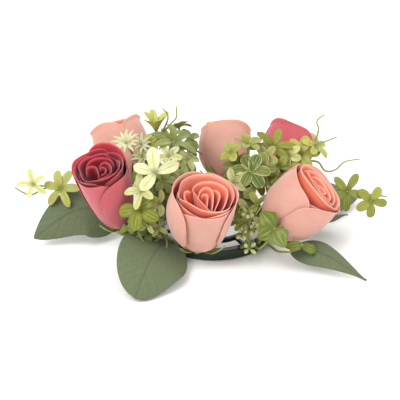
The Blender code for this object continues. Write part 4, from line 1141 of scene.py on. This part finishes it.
def bud(skin, base, along, normal, whorl, draw):
    """An oval bud on a short stalk."""
    lateral = normal.cross(along)
    length, radius = whorl.length * draw.uniform(0.85, 1.1), whorl.width / 2
    skin.tube([base, base + along * length * 0.45], [0.45, 0.4], 8, **plain(0.4, 0.3, 0.4))
    points, sides = [], 12
    for spot, share in BUD:
        points += circle(base + along * length * spot, lateral, normal, radius * share, sides)
    reached = np.repeat([spot for spot, _ in BUD], sides)
    pale = whorl.pale + draw.uniform(-0.2, 0.2)
    skin.add(points, barrel(len(BUD), sides), **plain(pale, whorl.gold, reached))


def sprig(name):
    layout = SPRIGS[name]
    draw = random.Random(name)
    route, kept = stem_route(layout.azimuth, layout.climb, layout.route, 6)
    skin = Skin()
    skin.tube(route, tapered(SPRIG_RADIUS, SPRIG_TIP, len(route)), 10, **plain(0.1, 0.4))
    for points in layout.tendrils:
        curl, _ = smooth_route(points, 10)
        if clear_of_blooms(curl):
            skin.tube(curl, tapered(TENDRIL_RADIUS, TENDRIL_TIP, len(curl)), 8, **plain(0.12, 0.35))
    for whorl in layout.whorls:
        fork, hub = route[kept[whorl.fork + 1]], Vector(whorl.hub)
        axis = Vector(whorl.facing).normalized()
        bend = fork.lerp(hub - axis * 3, 0.6) + UP * 0.04 * (hub - fork).length
        shoot, _ = smooth_route([fork, bend, hub - axis * 0.4], 6)
        if clear_of_blooms(shoot):
            skin.tube(shoot, [SHOOT_RADIUS] * len(shoot), 8, **plain(0.1, 0.35))
        first = across(axis)
        for i in range(whorl.count):
            share = (i + whorl.turn + draw.uniform(-0.14, 0.14)) / whorl.count
            outward = Quaternion(axis, 2 * math.pi * share) @ first
            slope = math.radians(whorl.lift + draw.uniform(-10, 10))
            along = outward * math.cos(slope) + axis * math.sin(slope)
            normal = axis * math.cos(slope) - outward * math.sin(slope)
            (bud if whorl.form == "bud" else leaflet)(skin, hub, along, normal, whorl, draw)
        middle = [hub - axis * 0.9, hub, hub + axis * 0.9]
        skin.tube(middle, [0.7, 1.0, 0.6], 10, **plain(0.4, 0.9, 0.2))
    piece = skin.make(f"{name}_sprig", LEAFLETS, 60)
    record_slot = next(part["material_slot"] for part in frame["record"]["subparts"]
                       if part["node"] == f"sprig_{name}")
    settle(piece, ON_RING, "wreath", record_slot, f"sprig_{name}")


# ---- stage ----
def stage():
    floor_material = bpy.data.materials.new("floor_paper")
    floor_material.use_nodes = True
    shader = floor_material.node_tree.nodes["Principled BSDF"]
    shader.inputs["Base Color"].default_value = (0.93, 0.93, 0.92, 1)
    shader.inputs["Roughness"].default_value = 0.9
    mesh = bpy.data.meshes.new("floor")
    corners = [(x * FLOOR_HALF, y * FLOOR_HALF, 0) for x, y in ((-1, -1), (1, -1), (1, 1), (-1, 1))]
    mesh.from_pydata(corners, [], [(0, 1, 2, 3)])
    mesh.materials.append(floor_material)
    floor = put("floor", mesh)
    floor.location = (0, 0, -FLOOR_DROP)

    world = bpy.data.worlds.new("studio")
    bpy.context.scene.world = world
    world.use_nodes = True
    sky = world.node_tree.nodes["Background"]
    sky.inputs["Color"].default_value = (1.0, 1.0, 1.0, 1)
    sky.inputs["Strength"].default_value = SKY

    for name, spot, size, power in LAMPS:
        lamp = bpy.data.lights.new(name, "AREA")
        lamp.energy, lamp.size = power, size
        light = put(name, lamp)
        light.location = spot
        light.rotation_euler = (LAMPS_AIM - Vector(spot)).to_track_quat("-Z", "Y").to_euler()


def camera():
    lift = math.radians(CAMERA_ELEVATION)
    view = Vector((0, math.cos(lift), -math.sin(lift)))
    lens = bpy.data.cameras.new("camera")
    lens.lens, lens.sensor_width, lens.clip_start = CAMERA_LENS, CAMERA_SENSOR, 0.01
    eye = put("camera", lens)
    eye.location = place(AIM - view * CAMERA_DISTANCE)
    eye.rotation_euler = view.to_track_quat("-Z", "Y").to_euler()
    bpy.context.scene.camera = eye


camera()
stage()
bpy.context.scene.view_settings.view_transform = "Standard"
ring_frame()
for rose_name in ROSES:
    rose_stem(rose_name)
    rose_head(rose_name)
for leaf_name in LEAVES:
    eucalyptus_leaf(leaf_name)
for sprig_name in SPRIGS:
    sprig(sprig_name)

bpy.context.view_layer.update()
